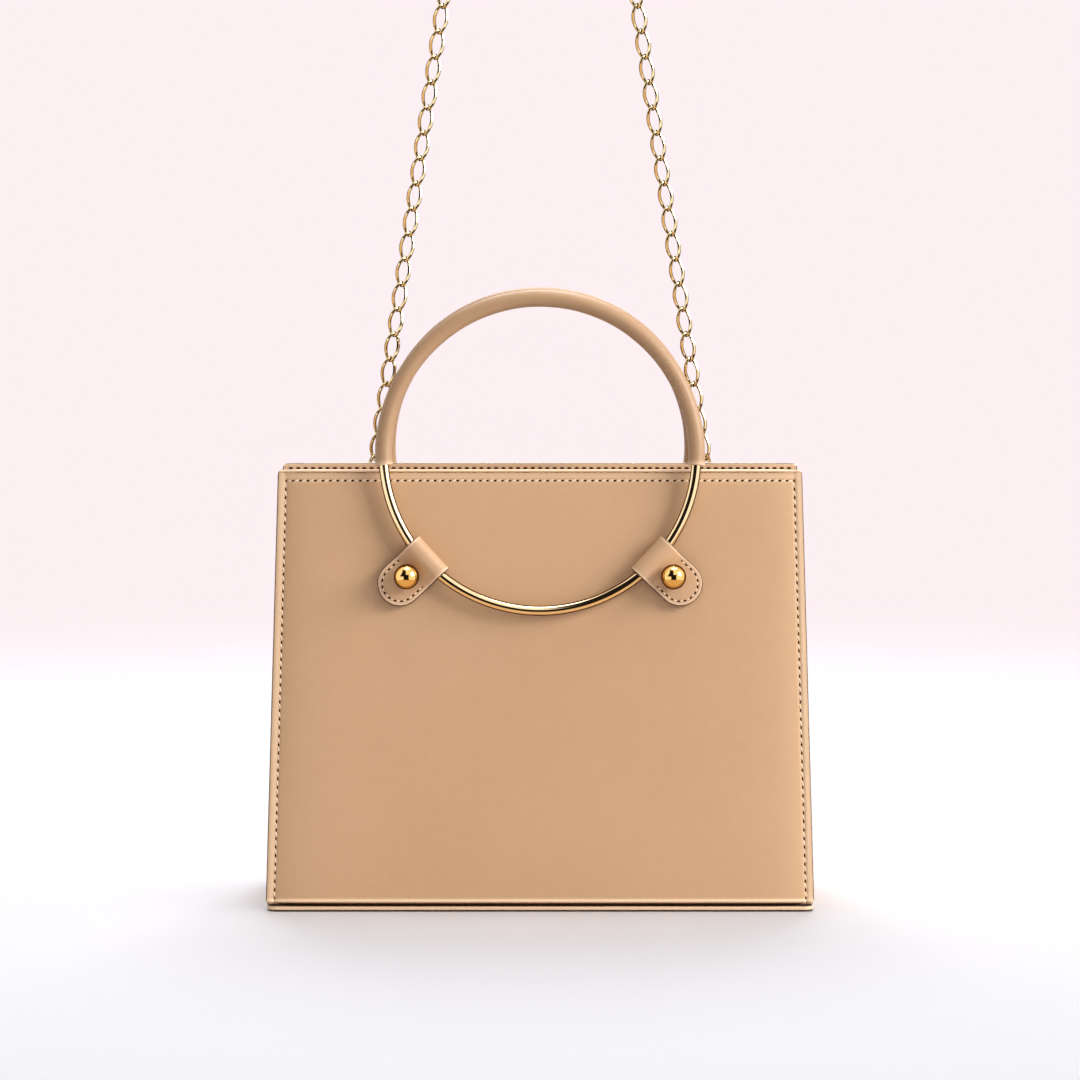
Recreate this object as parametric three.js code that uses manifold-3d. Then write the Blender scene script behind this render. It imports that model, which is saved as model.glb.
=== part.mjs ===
// A small crossbody bag: two stiff leather panels on a covered base, pleated side gussets,
// a ring handle on each panel, and a chain strap that is clasped to the ring at the back.
// Millimetres and degrees. X runs to the right, Y to the back and Z up.
// The origin is the middle of the chain's top link, which the bag hangs from.
import * as THREE from 'three';
import { mergeVertices } from 'three/addons/utils/BufferGeometryUtils.js';
import Module from 'manifold-3d';

const wasm = await Module();
wasm.setup();

// Body: panels, base and gussets
const bodyHeight = 175.5;
const bodyTopDepth = 44;
const bodyBottomDepth = 85;
const panelTopWidth = 210;
const panelBottomWidth = 219;
const panelThickness = 2.8;
const panelCornerRadius = 2;
const panelEdgeRound = 0.5;
const baseThickness = 2.4;
const baseEndInset = 0.5;
const baseReveal = 0.6;
const baseCornerRadius = 4;
const baseEdgeRound = 0.9;
const gussetThickness = 1.4;
const gussetFlangeWidth = 7;
const gussetEdgeInset = 0.6;
const gussetPleatDepth = 21;
const gussetTopDrop = 6;

// Ring handles and their leather grips
const ringDiameter = 125;
const ringWire = 4;
const ringRise = 5.7;
const gripDiameter = 6.8;
const gripSpan = 188;
const backGripSpan = 196;

// Tabs that hold the rings, and the ball studs through them
const tabWidth = 18;
const tabLength = 27.5;
const tabLeather = 1.7;
const tabAngle = 42.7;
const tabFlankAngle = 45;
const tabLoopSlack = 0.25;
const studBallDiameter = 10;
const studNeckDiameter = 4.5;
const studReach = 14.8;
const studHeadDiameter = 9;
const studHeadThickness = 1.6;

// Chain strap and its clasps
const chainRise = 411;
const linkPitch = 10.3;
const linkWidth = 6.4;
const linkWire = 1.4;
const linkBite = 0.3;
const linkTwist = 45;
const claspWire = 1.6;
const claspTilt = 30;
const claspTurn = 42;
const claspBarrelDiameter = 3;
const claspBarrelLength = 5.7;
const claspEyeDiameter = 5.2;
const claspEyeLap = 0.7;

// Gap between pieces that touch on the real bag
const clearance = 0.3;

// Facets
const ringSteps = 36;
const wireSides = 8;
const linkSteps = 6;
const linkSides = 5;
const claspSteps = 10;
const claspSides = 6;
const studSides = 10;
const holeSides = 10;
const ballBands = 6;
const plateCornerSteps = 3;
const panelRimSteps = 1;
const baseRimSteps = 2;
const gussetHeightSteps = 4;
const tabBendSteps = 6;
const tabCrestSteps = 2;
const tabEndSteps = 8;

// How far a cutting body runs past what it cuts
const overrun = 1;

// Sizes that follow from the driving dimensions
const ringRadius = ringDiameter / 2;
const wireRadius = ringWire / 2;
const panelFoot = baseThickness + clearance;
const panelRun = (bodyBottomDepth - bodyTopDepth) / 2;
const lean = Math.atan2(panelRun, bodyHeight - panelFoot);
const panelBottom = panelFoot + panelThickness * Math.sin(lean);
const panelLength = (bodyHeight - panelBottom) / Math.cos(lean);
const ringCentreUp = panelLength + ringRise;
const ringCentreOut = clearance + tabLeather + clearance + wireRadius;
const tabTop = clearance + 2 * tabLeather;
const loopInner = wireRadius + clearance;
const loopOuter = loopInner + tabLeather;
const loopShift = ringRadius - Math.sqrt(ringRadius ** 2 - (tabWidth / 2) ** 2) + tabLoopSlack;
const foldEdge = loopShift + loopOuter;
const studRadius = ringRadius + studReach - foldEdge;
const linkHook = linkWire - linkBite;

const radians = THREE.MathUtils.degToRad;

// The two sides that carry a ring and its tabs, as the signs of X
const sides = [['left', -1], ['right', 1]];

const leather = { color: 0xd2a681, roughness: 0.5, metalness: 0 };
const darkLeather = { color: 0xb98a5e, roughness: 0.6, metalness: 0 };
const gold = { color: 0xe6c478, roughness: 0.12, metalness: 1 };

function addPiece(parent, name, geometry, finish) {
  const mesh = new THREE.Mesh(geometry, new THREE.MeshStandardMaterial(finish));
  mesh.name = name;
  parent.add(mesh);
  return mesh;
}

// A geometry as a solid, with the vertices that its faces share made one
function toSolid(geometry) {
  const plain = geometry.clone();
  plain.deleteAttribute('normal');
  plain.deleteAttribute('uv');
  const merged = mergeVertices(plain);
  return new wasm.Manifold(new wasm.Mesh({
    numProp: 3,
    vertProperties: merged.attributes.position.array,
    triVerts: new Uint32Array(merged.index.array),
  }));
}

function toGeometry(solid) {
  const mesh = solid.getMesh();
  const geometry = new THREE.BufferGeometry();
  geometry.setAttribute('position', new THREE.BufferAttribute(mesh.vertProperties, 3));
  geometry.setIndex(new THREE.BufferAttribute(mesh.triVerts, 1));
  return geometry;
}

// A shape with its corners rounded, each corner a point and a radius
function roundedShape(corners) {
  const shape = new THREE.Shape();
  corners.forEach(({ point, radius }, index) => {
    const before = corners.at(index - 1).point;
    const after = corners[(index + 1) % corners.length].point;
    const start = before.clone().sub(point).setLength(radius).add(point);
    const end = after.clone().sub(point).setLength(radius).add(point);
    if (index === 0) {
      shape.moveTo(start.x, start.y);
    } else {
      shape.lineTo(start.x, start.y);
    }
    shape.quadraticCurveTo(point.x, point.y, end.x, end.y);
  });
  shape.closePath();
  return shape;
}

// A plate from z = 0 up to its thickness, with its rims rounded
function roundedPlate(shape, thickness, round, roundSteps) {
  const geometry = new THREE.ExtrudeGeometry(shape, {
    depth: thickness - 2 * round,
    bevelSize: round,
    bevelThickness: round,
    bevelOffset: -round,
    bevelSegments: roundSteps,
    curveSegments: plateCornerSteps,
  });
  return geometry.translate(0, 0, round);
}

// Points on an arc in a plane, from one angle to another
function arcPoints(centreX, centreY, radius, fromAngle, toAngle, steps) {
  return Array.from({ length: steps + 1 }, (_, index) => {
    const angle = radians(fromAngle + (toAngle - fromAngle) * index / steps);
    return new THREE.Vector2(centreX + radius * Math.cos(angle), centreY + radius * Math.sin(angle));
  });
}

// A drill along Z that leaves the clearance round a pin, flat of a facet included
function holeDrill(pinDiameter, from, to) {
  const radius = (pinDiameter / 2 + clearance) / Math.cos(Math.PI / holeSides);
  const drill = new THREE.CylinderGeometry(radius, radius, to - from, holeSides);
  return drill.rotateX(Math.PI / 2).translate(0, 0, (from + to) / 2);
}

// Place on a panel of the stud on one side, in the panel's own frame
function studPlace(sign) {
  const angle = radians(tabAngle);
  return [sign * studRadius * Math.cos(angle), ringCentreUp - studRadius * Math.sin(angle)];
}

// Stiff panel, its outer face at z = 0 and its lower edge at y = 0
function panelGeometry() {
  const corner = (x, y, radius) => ({ point: new THREE.Vector2(x, y), radius });
  const outline = roundedShape([
    corner(-panelBottomWidth / 2, 0, panelCornerRadius),
    corner(panelBottomWidth / 2, 0, panelCornerRadius),
    corner(panelTopWidth / 2, panelLength, panelCornerRadius),
    corner(-panelTopWidth / 2, panelLength, panelCornerRadius),
  ]);
  const plate = roundedPlate(outline, panelThickness, panelEdgeRound, panelRimSteps);
  let solid = toSolid(plate.translate(0, 0, -panelThickness));
  for (const [, sign] of sides) {
    const [across, up] = studPlace(sign);
    const drill = holeDrill(studNeckDiameter, -panelThickness - overrun, overrun);
    solid = solid.subtract(toSolid(drill.translate(across, up, 0)));
  }
  return toGeometry(solid);
}

// Covered base board, a little proud of the panels' faces and a little short of their ends
function baseGeometry() {
  const width = panelBottomWidth - 2 * baseEndInset;
  const depth = bodyBottomDepth + 2 * baseReveal;
  const corner = (x, y) => ({ point: new THREE.Vector2(x, y), radius: baseCornerRadius });
  const outline = roundedShape([
    corner(-width / 2, -depth / 2),
    corner(width / 2, -depth / 2),
    corner(width / 2, depth / 2),
    corner(-width / 2, depth / 2),
  ]);
  return roundedPlate(outline, baseThickness, baseEdgeRound, baseRimSteps);
}

// Half of the free depth between the panels' inner faces at a height
function innerHalfDepth(height) {
  const outer = bodyBottomDepth / 2 - (height - panelBottom) * Math.tan(lean);
  return outer - panelThickness / Math.cos(lean);
}

// Centreline of the right gusset in plan at a height: flange, pleat, flange
function gussetLine(height) {
  const share = (height - panelFoot) / (bodyHeight - panelFoot);
  const panelHalf = THREE.MathUtils.lerp(panelBottomWidth, panelTopWidth, share) / 2;
  const edge = panelHalf - gussetEdgeInset;
  const fold = edge - gussetFlangeWidth;
  const reach = innerHalfDepth(height) - clearance - gussetThickness / 2;
  return [
    new THREE.Vector2(edge, -reach),
    new THREE.Vector2(fold, -reach),
    new THREE.Vector2(fold - gussetPleatDepth * share, 0),
    new THREE.Vector2(fold, reach),
    new THREE.Vector2(edge, reach),
  ];
}

// A point of a bent line moved sideways, to the left of its run, with a mitred corner
function mitred(line, index, distance) {
  const leftOf = (from, to) => {
    const along = line[to].clone().sub(line[from]).normalize();
    return new THREE.Vector2(-along.y, along.x);
  };
  const before = leftOf(Math.max(index - 1, 0), Math.max(index, 1));
  const after = leftOf(Math.min(index, line.length - 2), Math.min(index + 1, line.length - 1));
  const offset = before.clone().add(after).multiplyScalar(distance / (1 + before.dot(after)));
  return line[index].clone().add(offset);
}

// Splits each four-cornered face of a bent box along the diagonal that runs down towards the
// middle pleat, so that both skins of the wall keep their distance and both halves mirror
function splitTowardsPleat(geometry) {
  const { position } = geometry.attributes;
  const slope = (from, to) => {
    const rise = position.getZ(from) - position.getZ(to);
    return rise * (Math.abs(position.getY(from)) - Math.abs(position.getY(to)));
  };
  const corners = Array.from(geometry.index.array);
  for (let first = 0; first < corners.length; first += 6) {
    const [one, two, four, , three] = corners.slice(first, first + 6);
    if (slope(one, three) > slope(two, four)) {
      corners.splice(first, 6, one, two, three, one, three, four);
    }
  }
  geometry.setIndex(corners);
}

// Right gusset: a thin box bent along the plan lines of its heights
function gussetGeometry() {
  const bottom = panelFoot;
  const top = bodyHeight - gussetTopDrop;
  const folds = gussetLine(bottom).length - 1;
  const geometry = new THREE.BoxGeometry(1, 1, 1, 1, gussetHeightSteps, folds);
  const position = geometry.attributes.position;
  for (let index = 0; index < position.count; index += 1) {
    const height = THREE.MathUtils.lerp(bottom, top, position.getY(index) + 0.5);
    const along = Math.round((position.getZ(index) + 0.5) * folds);
    const place = mitred(gussetLine(height), along, position.getX(index) * gussetThickness);
    position.setXYZ(index, place.x, place.y, height);
  }
  splitTowardsPleat(geometry);
  return geometry;
}

// Ring of round wire about Z, its facets set half a step round to line up with the grip's ends
function ringGeometry() {
  const ring = new THREE.TorusGeometry(ringRadius, wireRadius, wireSides, ringSteps);
  return ring.rotateZ(Math.PI / ringSteps);
}

// Centre of the ring's wire over the span of the grip
class GripCurve extends THREE.Curve {
  constructor(span) {
    super();
    this.span = span;
  }

  getPoint(share, target = new THREE.Vector3()) {
    const angle = radians(90 + this.span * (share - 0.5));
    return target.set(ringRadius * Math.cos(angle), ringRadius * Math.sin(angle), 0);
  }
}

// Leather sleeve round the upper part of the ring, cut square at its ends.
// An odd number of steps lines its facets up with the ring's.
function gripGeometry(span) {
  const bore = loopInner / Math.cos(Math.PI / wireSides);
  const section = new THREE.Shape(arcPoints(0, 0, gripDiameter / 2, 0, 360, wireSides).slice(1));
  section.holes.push(new THREE.Path(arcPoints(0, 0, bore, 0, 360, wireSides).slice(1)));
  return new THREE.ExtrudeGeometry(section, {
    steps: 2 * Math.floor(span * ringSteps / 720) + 1,
    extrudePath: new GripCurve(span),
  });
}

// Side view of a tab's loop at a distance from the wire: x runs out from the ring, y off the panel
function loopOutline(distance, closing) {
  const bend = arcPoints(-loopShift, ringCentreOut, distance, -90, -270, tabBendSteps);
  const crest = arcPoints(0, ringCentreOut, distance, 90, tabFlankAngle, tabCrestSteps);
  return [...bend, ...crest, ...closing];
}

// Where the flank of the loop, at a distance from the wire, comes down to a height
function flankFoot(distance, height) {
  const angle = radians(tabFlankAngle);
  const drop = ringCentreOut + distance * Math.sin(angle) - height;
  return distance * Math.cos(angle) + drop * Math.tan(angle);
}

// Strap folded round the ring and laid double on the panel: x runs out from the ring's wire
function tabGeometry() {
  const tip = tabLength - foldEdge;
  const half = tabWidth / 2;
  const outline = loopOutline(loopOuter, [
    new THREE.Vector2(flankFoot(loopOuter, tabTop), tabTop),
    new THREE.Vector2(tip, tabTop),
    new THREE.Vector2(tip, clearance),
  ]);
  const innerFloor = clearance + tabLeather;
  const tunnel = loopOutline(loopInner, [
    new THREE.Vector2(flankFoot(loopInner, innerFloor), innerFloor),
  ]);
  const profile = new THREE.Shape(outline);
  profile.holes.push(new THREE.Path(tunnel.reverse()));
  const strap = new THREE.ExtrudeGeometry(profile, { depth: tabWidth, bevelEnabled: false });
  strap.rotateX(Math.PI / 2).translate(0, half, 0);

  const start = -foldEdge - overrun;
  const wide = half + overrun;
  const roundEnd = new THREE.Shape([
    new THREE.Vector2(start, -wide),
    new THREE.Vector2(tip - half, -wide),
    ...arcPoints(tip - half, 0, half, -90, 90, tabEndSteps),
    new THREE.Vector2(tip - half, wide),
    new THREE.Vector2(start, wide),
  ]);
  const height = ringCentreOut + loopOuter + overrun;
  const block = new THREE.ExtrudeGeometry(roundEnd, { depth: height, bevelEnabled: false });

  const drill = holeDrill(studNeckDiameter, -overrun, height);
  drill.translate(studReach - foldEdge, 0, 0);
  return toGeometry(toSolid(strap).intersect(toSolid(block)).subtract(toSolid(drill)));
}

// Ball stud about Z: a plain head inside the bag, a neck, and the ball on the tab
function studGeometry() {
  const headTop = -panelThickness - clearance;
  const headBottom = headTop - studHeadThickness;
  const ball = studBallDiameter / 2;
  const neck = studNeckDiameter / 2;
  const neckAngle = THREE.MathUtils.radToDeg(Math.acos(neck / ball));
  const neckTop = tabTop + clearance;
  const ballCentre = neckTop + Math.sqrt(ball ** 2 - neck ** 2);
  const profile = [
    new THREE.Vector2(0, headBottom),
    new THREE.Vector2(studHeadDiameter / 2, headBottom),
    new THREE.Vector2(studHeadDiameter / 2, headTop),
    new THREE.Vector2(neck, headTop),
    ...arcPoints(0, ballCentre, ball, -neckAngle, 90, ballBands),
  ];
  profile.at(-1).x = 0;
  return new THREE.LatheGeometry(profile, studSides).rotateX(Math.PI / 2);
}

// One side of the bag: panel, ring, grip, tabs and studs, in the panel's own frame
function buildSide(name, turn, wrapSpan) {
  const side = new THREE.Group();
  addPiece(side, `${name}_panel`, panelGeometry(), leather);
  const ring = addPiece(side, `${name}_ring`, ringGeometry(), gold);
  const grip = addPiece(side, `${name}_grip`, gripGeometry(wrapSpan), leather);
  for (const piece of [ring, grip]) {
    piece.position.set(0, ringCentreUp, ringCentreOut);
  }
  for (const [hand, sign] of sides) {
    const angle = sign > 0 ? -radians(tabAngle) : radians(180 + tabAngle);
    const tab = addPiece(side, `${name}_tab_${hand}`, tabGeometry(), leather);
    const across = ringRadius * Math.cos(angle);
    tab.position.set(across, ringCentreUp + ringRadius * Math.sin(angle), 0);
    tab.rotation.z = angle;
    const stud = addPiece(side, `${name}_stud_${hand}`, studGeometry(), gold);
    stud.position.set(...studPlace(sign), 0);
  }
  side.rotation.set(Math.PI / 2 - lean, 0, 0);
  side.position.set(0, -bodyBottomDepth / 2, panelBottom);
  const turned = new THREE.Group();
  turned.rotation.z = turn;
  turned.add(side);
  turned.updateMatrixWorld();
  return { turned, side };
}

// An oval of wire about its own middle, long along X, its cross direction turned from end to end
class OvalCurve extends THREE.Curve {
  constructor(length, width, twist) {
    super();
    this.halfLength = length / 2;
    this.halfWidth = width / 2;
    this.twist = radians(twist);
  }

  getPoint(share, target = new THREE.Vector3()) {
    const angle = 2 * Math.PI * share;
    const across = this.halfWidth * Math.sin(angle);
    const turn = this.twist * Math.cos(angle);
    const along = this.halfLength * Math.cos(angle);
    return target.set(along, across * Math.cos(turn), across * Math.sin(turn));
  }
}

// A torus whose wire is laid along a closed curve about the origin, mitred where its steps meet.
// The middles of its straight steps lie on the curve, and one step crosses each end of an oval.
// One edge of the wire faces inwards, so that hooked wires meet edge to edge.
function wireLoop(curve, radius, wireFacets, steps) {
  const geometry = new THREE.TorusGeometry(1, 0.1, wireFacets, steps);
  const position = geometry.attributes.position;
  const corner = (step) => curve.getPoint((step + 0.5) / steps).divideScalar(Math.cos(Math.PI / steps));
  for (let step = 0; step <= steps; step += 1) {
    const centre = corner(step % steps);
    const before = centre.clone().sub(corner((step + steps - 1) % steps)).normalize();
    const after = corner((step + 1) % steps).sub(centre).normalize();
    const along = before.clone().add(after).normalize();
    const inward = after.clone().sub(before).normalize();
    const sideways = inward.clone().cross(along);
    const mitre = 1 / before.dot(along);
    for (let facet = 0; facet <= wireFacets; facet += 1) {
      const angle = 2 * Math.PI * (facet % wireFacets) / wireFacets;
      const place = centre.clone();
      place.addScaledVector(inward, mitre * radius * Math.cos(angle));
      place.addScaledVector(sideways, radius * Math.sin(angle));
      position.setXYZ(facet * (steps + 1) + step, place.x, place.y, place.z);
    }
  }
  return geometry;
}

// Matrix that lays X along one direction and Z as near as can be to another, at a place
function frameAt(place, along, facing) {
  const x = along.clone().normalize();
  const z = facing.clone().addScaledVector(x, -facing.dot(x)).normalize();
  const y = z.clone().cross(x);
  return new THREE.Matrix4().makeBasis(x, y, z).setPosition(place);
}

// Frame of a clasp on one side of the back ring: X up through its eye, Y across its hook.
// Its hook lies slanted, so that seen along the ring's wire it is a circle round the wire.
function claspFrame(side, sign) {
  const tilt = radians(claspTilt);
  const seatRun = (gripDiameter / 2 + claspBarrelDiameter / 2 + clearance) / Math.tan(tilt);
  const angle = radians(backGripSpan - 180) / 2 + seatRun / ringRadius;
  const hand = -sign;
  const radial = new THREE.Vector3(hand * Math.cos(angle), -Math.sin(angle), 0);
  const upRing = new THREE.Vector3(hand * Math.sin(angle), Math.cos(angle), 0);
  const outward = new THREE.Vector3(0, 0, Math.cos(radians(claspTurn)));
  outward.addScaledVector(radial, Math.sin(radians(claspTurn)));
  const along = upRing.clone().multiplyScalar(Math.cos(tilt)).addScaledVector(outward, Math.sin(tilt));
  const facing = outward.clone().multiplyScalar(Math.cos(tilt)).addScaledVector(upRing, -Math.sin(tilt));
  const place = new THREE.Vector3(0, ringCentreUp, ringCentreOut).addScaledVector(radial, ringRadius);
  return frameAt(place, along, facing).premultiply(side.matrixWorld);
}

const claspHookWidth = ringWire + claspWire + 2 * clearance;
const claspHookLength = claspHookWidth / Math.sin(radians(claspTilt));
const claspEyeReach = claspHookLength / 2 + claspBarrelLength - claspEyeLap + claspEyeDiameter / 2;

// One clasp: a hook round the ring, a barrel, and an eye turned to take the chain's end link
function claspGeometry(frame, strandAlong, loopFacing) {
  const hookCurve = new OvalCurve(claspHookLength, claspHookWidth, 0);
  const hook = wireLoop(hookCurve, claspWire / 2, claspSides, claspSteps).applyMatrix4(frame);
  const barrelRadius = claspBarrelDiameter / 2;
  const barrel = new THREE.CylinderGeometry(barrelRadius, barrelRadius, claspBarrelLength, claspSides);
  barrel.rotateZ(Math.PI / 2).translate((claspHookLength + claspBarrelLength) / 2, 0, 0);
  const eyeCurve = new OvalCurve(claspEyeDiameter, claspEyeDiameter, 0);
  const eye = wireLoop(eyeCurve, linkWire / 2, claspSides, claspSteps);
  const eyeCentre = new THREE.Vector3(claspEyeReach, 0, 0).applyMatrix4(frame);
  const eyeFacing = loopFacing.clone().applyAxisAngle(strandAlong, radians(90 - linkTwist));
  eye.applyMatrix4(frameAt(eyeCentre, strandAlong, eyeFacing));
  return toGeometry(toSolid(hook).add(toSolid(barrel.applyMatrix4(frame))).add(toSolid(eye)));
}

// Twisted links along a straight run, which starts and ends at joints between links.
// The links are spaced evenly, and each is just long enough to bite into the next.
function runLinks(from, to, facing) {
  const along = to.clone().sub(from);
  const count = Math.max(1, Math.round(along.length() / linkPitch));
  const curve = new OvalCurve(along.length() / count + linkHook, linkWidth - linkWire, linkTwist);
  const link = wireLoop(curve, linkWire / 2, linkSides, linkSteps);
  return Array.from({ length: count }, (_, index) => {
    const middle = from.clone().addScaledVector(along, (index + 0.5) / count);
    return toSolid(link.clone().applyMatrix4(frameAt(middle, along, facing)));
  });
}

// Chain and clasps: up from the back ring on both sides to the top link
function buildStrap(bag, backSide) {
  const top = new THREE.Vector3(0, 0, bodyHeight + chainRise);
  const corners = sides.map(([, sign]) => top.clone().setX(sign * linkPitch / 2));
  const claspFrames = sides.map(([, sign]) => claspFrame(backSide, sign));
  const eyes = claspFrames.map((frame) => new THREE.Vector3(claspEyeReach, 0, 0).applyMatrix4(frame));
  const facing = corners[1].clone().sub(corners[0]).cross(eyes[0].clone().sub(top)).normalize();
  const hooked = claspEyeDiameter / 2 - linkWire - clearance;
  const joints = eyes.map((eye, index) => {
    const along = corners[index].clone().sub(eye).normalize();
    return eye.clone().addScaledVector(along, hooked + linkHook / 2);
  });
  sides.forEach(([hand], index) => {
    const along = corners[index].clone().sub(eyes[index]).normalize();
    addPiece(bag, `chain_clasp_${hand}`, claspGeometry(claspFrames[index], along, facing), gold);
  });
  const chain = wasm.Manifold.union([
    ...runLinks(joints[0], corners[0], facing),
    ...runLinks(corners[0], corners[1], facing),
    ...runLinks(corners[1], joints[1], facing),
  ]);
  addPiece(bag, 'chain_strap', toGeometry(chain), gold);
}

const bag = new THREE.Group();
addPiece(bag, 'base', baseGeometry(), leather);
addPiece(bag, 'gusset_right', gussetGeometry(), darkLeather);
addPiece(bag, 'gusset_left', gussetGeometry(), darkLeather).rotation.z = Math.PI;
const front = buildSide('front', 0, gripSpan);
const back = buildSide('back', Math.PI, backGripSpan);
bag.add(front.turned, back.turned);
buildStrap(bag, back.side);
bag.position.z = -bodyHeight - chainRise;

const crossbodyBag = new THREE.Group();
crossbodyBag.add(bag);

export default crossbodyBag;
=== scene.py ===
"""Looks of a small crossbody bag with two ring handles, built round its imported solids.

Metres, with X to the right, Y to the back and Z up. The origin is the middle of the
chain's top link. Each panel has a frame of its own: x to its right, y up along the
leather from its lower edge, and z out of its outer face.
"""

from __future__ import annotations
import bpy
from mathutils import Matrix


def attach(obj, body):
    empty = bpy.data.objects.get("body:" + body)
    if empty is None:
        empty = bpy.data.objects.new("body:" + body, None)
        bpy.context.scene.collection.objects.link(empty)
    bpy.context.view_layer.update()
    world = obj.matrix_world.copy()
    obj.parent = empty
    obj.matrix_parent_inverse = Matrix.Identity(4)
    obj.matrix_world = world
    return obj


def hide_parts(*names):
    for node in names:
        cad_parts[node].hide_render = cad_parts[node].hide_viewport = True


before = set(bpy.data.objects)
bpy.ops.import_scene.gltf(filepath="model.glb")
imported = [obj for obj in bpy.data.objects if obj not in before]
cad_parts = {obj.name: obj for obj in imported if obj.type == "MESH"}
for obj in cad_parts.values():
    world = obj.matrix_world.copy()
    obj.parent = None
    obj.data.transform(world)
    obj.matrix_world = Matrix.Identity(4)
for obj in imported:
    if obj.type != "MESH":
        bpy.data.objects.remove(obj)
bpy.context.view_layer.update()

import logging
import math
from dataclasses import dataclass, field
from enum import Enum
from typing import Callable, Iterable, Sequence

import bmesh
import bpy
from mathutils import Matrix, Vector, noise

log = logging.getLogger("bag")

Colour = tuple[float, float, float, float]
Placing = Callable[[int, int], Vector]

# The rim mark darkens edges with edge paint, and with painted shade in creases, in gaps and along
# edges that turn away. The fold mark makes leather paler where it is stretched over folds, and adds a
# painted highlight where light catches beads and borders.
RIM_PAINT_AND_SHADE = "rim"
FOLD_STRETCH_AND_HIGHLIGHT = "fold"
SHARP_ANGLE = math.radians(38)
DOUBLES = 1e-6


class Side(Enum):
    """The panel that a piece belongs to."""

    FRONT = "front"
    BACK = "back"


class Hand(Enum):
    """The end of a panel that a piece is on, as the sign of its x."""

    LEFT = -1
    RIGHT = 1


class Slot(Enum):
    """The record's material slots."""

    BODY = "body_leather"
    GUSSET = "gusset_leather"
    STRAP = "strap_leather"
    RING = "ring_metal"
    CHAIN = "chain_metal"


def smooth_share(value: float, low: float, high: float) -> float:
    """How far a value has come from low to high, from 0 to 1 with soft ends.

    Args:
        value: The value to place.
        low: Where the share starts to grow.
        high: Where it reaches one.

    Returns:
        The share, from 0 to 1.
    """
    share = min(max((value - low) / (high - low), 0.0), 1.0)
    return share * share * (3 - 2 * share)


def bump(value: float, middle: float, width: float) -> float:
    """A bell of height one round a middle, that falls to a third at its width."""
    return math.exp(-(((value - middle) / width) ** 2))


def rounding(distance: float, radius: float) -> float:
    """How far a rounded rim lies below its face, at a distance from the edge.

    Args:
        distance: Distance from the edge, along the face.
        radius: Radius of the rim.

    Returns:
        The drop, from the radius at the edge to nothing.
    """
    inside = radius - min(max(distance, 0.0), radius)
    return radius - math.sqrt(radius * radius - inside * inside)


@dataclass(frozen=True)
class Ridge:
    """A soft ridge or groove along an edge, or a band of tone that follows the edge."""

    height: float
    place: float
    width: float

    def at(self, distance: float) -> float:
        """Its height at a distance from the edge."""
        return self.height * bump(distance, self.place, self.width)


@dataclass(frozen=True)
class Fade:
    """A tone that is full up to one distance from an edge and gone at another."""

    full: float
    gone: float

    def at(self, distance: float) -> float:
        """Its share at a distance from the edge."""
        return 1 - smooth_share(distance, self.full, self.gone)


def basis(along: Vector, facing: Vector, place: Vector) -> Matrix:
    """The matrix that lays X along one direction and Z as near as can be to another.

    Args:
        along: Where X points.
        facing: Where Z points, roughly.
        place: The origin.

    Returns:
        The four by four matrix.
    """
    x = along.normalized()
    z = (facing - x * facing.dot(x)).normalized()
    y = z.cross(x)
    made = Matrix((x, y, z)).transposed().to_4x4()
    made.translation = place
    return made


# Where things stand


@dataclass(frozen=True)
class Stance:
    """The sizes by which the panels, rings and tabs are placed."""

    floor: float = -0.5865
    height: float = 0.1755
    mouth_depth: float = 0.044
    bottom_depth: float = 0.085
    top_width: float = 0.210
    bottom_width: float = 0.219
    base_thickness: float = 0.0024
    wall: float = 0.0028
    gap: float = 0.0003
    ring_radius: float = 0.0625
    ring_wire: float = 0.002
    ring_rise: float = 0.0057
    front_wrap: float = math.radians(188)
    back_wrap: float = math.radians(196)
    strap_leather: float = 0.0017

    @property
    def foot(self) -> float:
        """Height of the panels' lower edge over the floor."""
        return self.base_thickness + self.gap

    @property
    def lean(self) -> float:
        """Angle by which each panel leans towards the other."""
        run = (self.bottom_depth - self.mouth_depth) / 2
        return math.atan2(run, self.height - self.foot)

    @property
    def panel_bottom(self) -> float:
        """Height of the outer face's lower edge over the floor."""
        return self.foot + self.wall * math.sin(self.lean)

    @property
    def panel_length(self) -> float:
        """Length of a panel, along the leather."""
        return (self.height - self.panel_bottom) / math.cos(self.lean)

    @property
    def ring_up(self) -> float:
        """Height of a ring's centre, along the leather."""
        return self.panel_length + self.ring_rise

    @property
    def ring_out(self) -> float:
        """Distance of a ring's plane from its panel's face."""
        return 2 * self.gap + self.strap_leather + self.ring_wire

    def panel(self, side: Side) -> Matrix:
        """The frame of a panel.

        Args:
            side: The panel.

        Returns:
            The matrix from the panel's frame to the row frame.
        """
        place = Matrix.Translation((0, -self.bottom_depth / 2, self.floor + self.panel_bottom))
        upright = place @ Matrix.Rotation(math.pi / 2 - self.lean, 4, "X")
        if side is Side.BACK:
            return Matrix.Rotation(math.pi, 4, "Z") @ upright
        return upright

    def half_width(self, share: float) -> float:
        """Half of the panels' width at a share of their height."""
        return (self.bottom_width + (self.top_width - self.bottom_width) * share) / 2

    def wrap_span(self, side: Side) -> float:
        """Angle of a ring that its leather wrap covers."""
        return self.front_wrap if side is Side.FRONT else self.back_wrap

    def ring(self, side: Side) -> Matrix:
        """The frame of a ring, its centre at the origin and its axis along z."""
        return self.panel(side) @ Matrix.Translation((0, self.ring_up, self.ring_out))


STANCE = Stance()


# Mesh making


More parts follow.
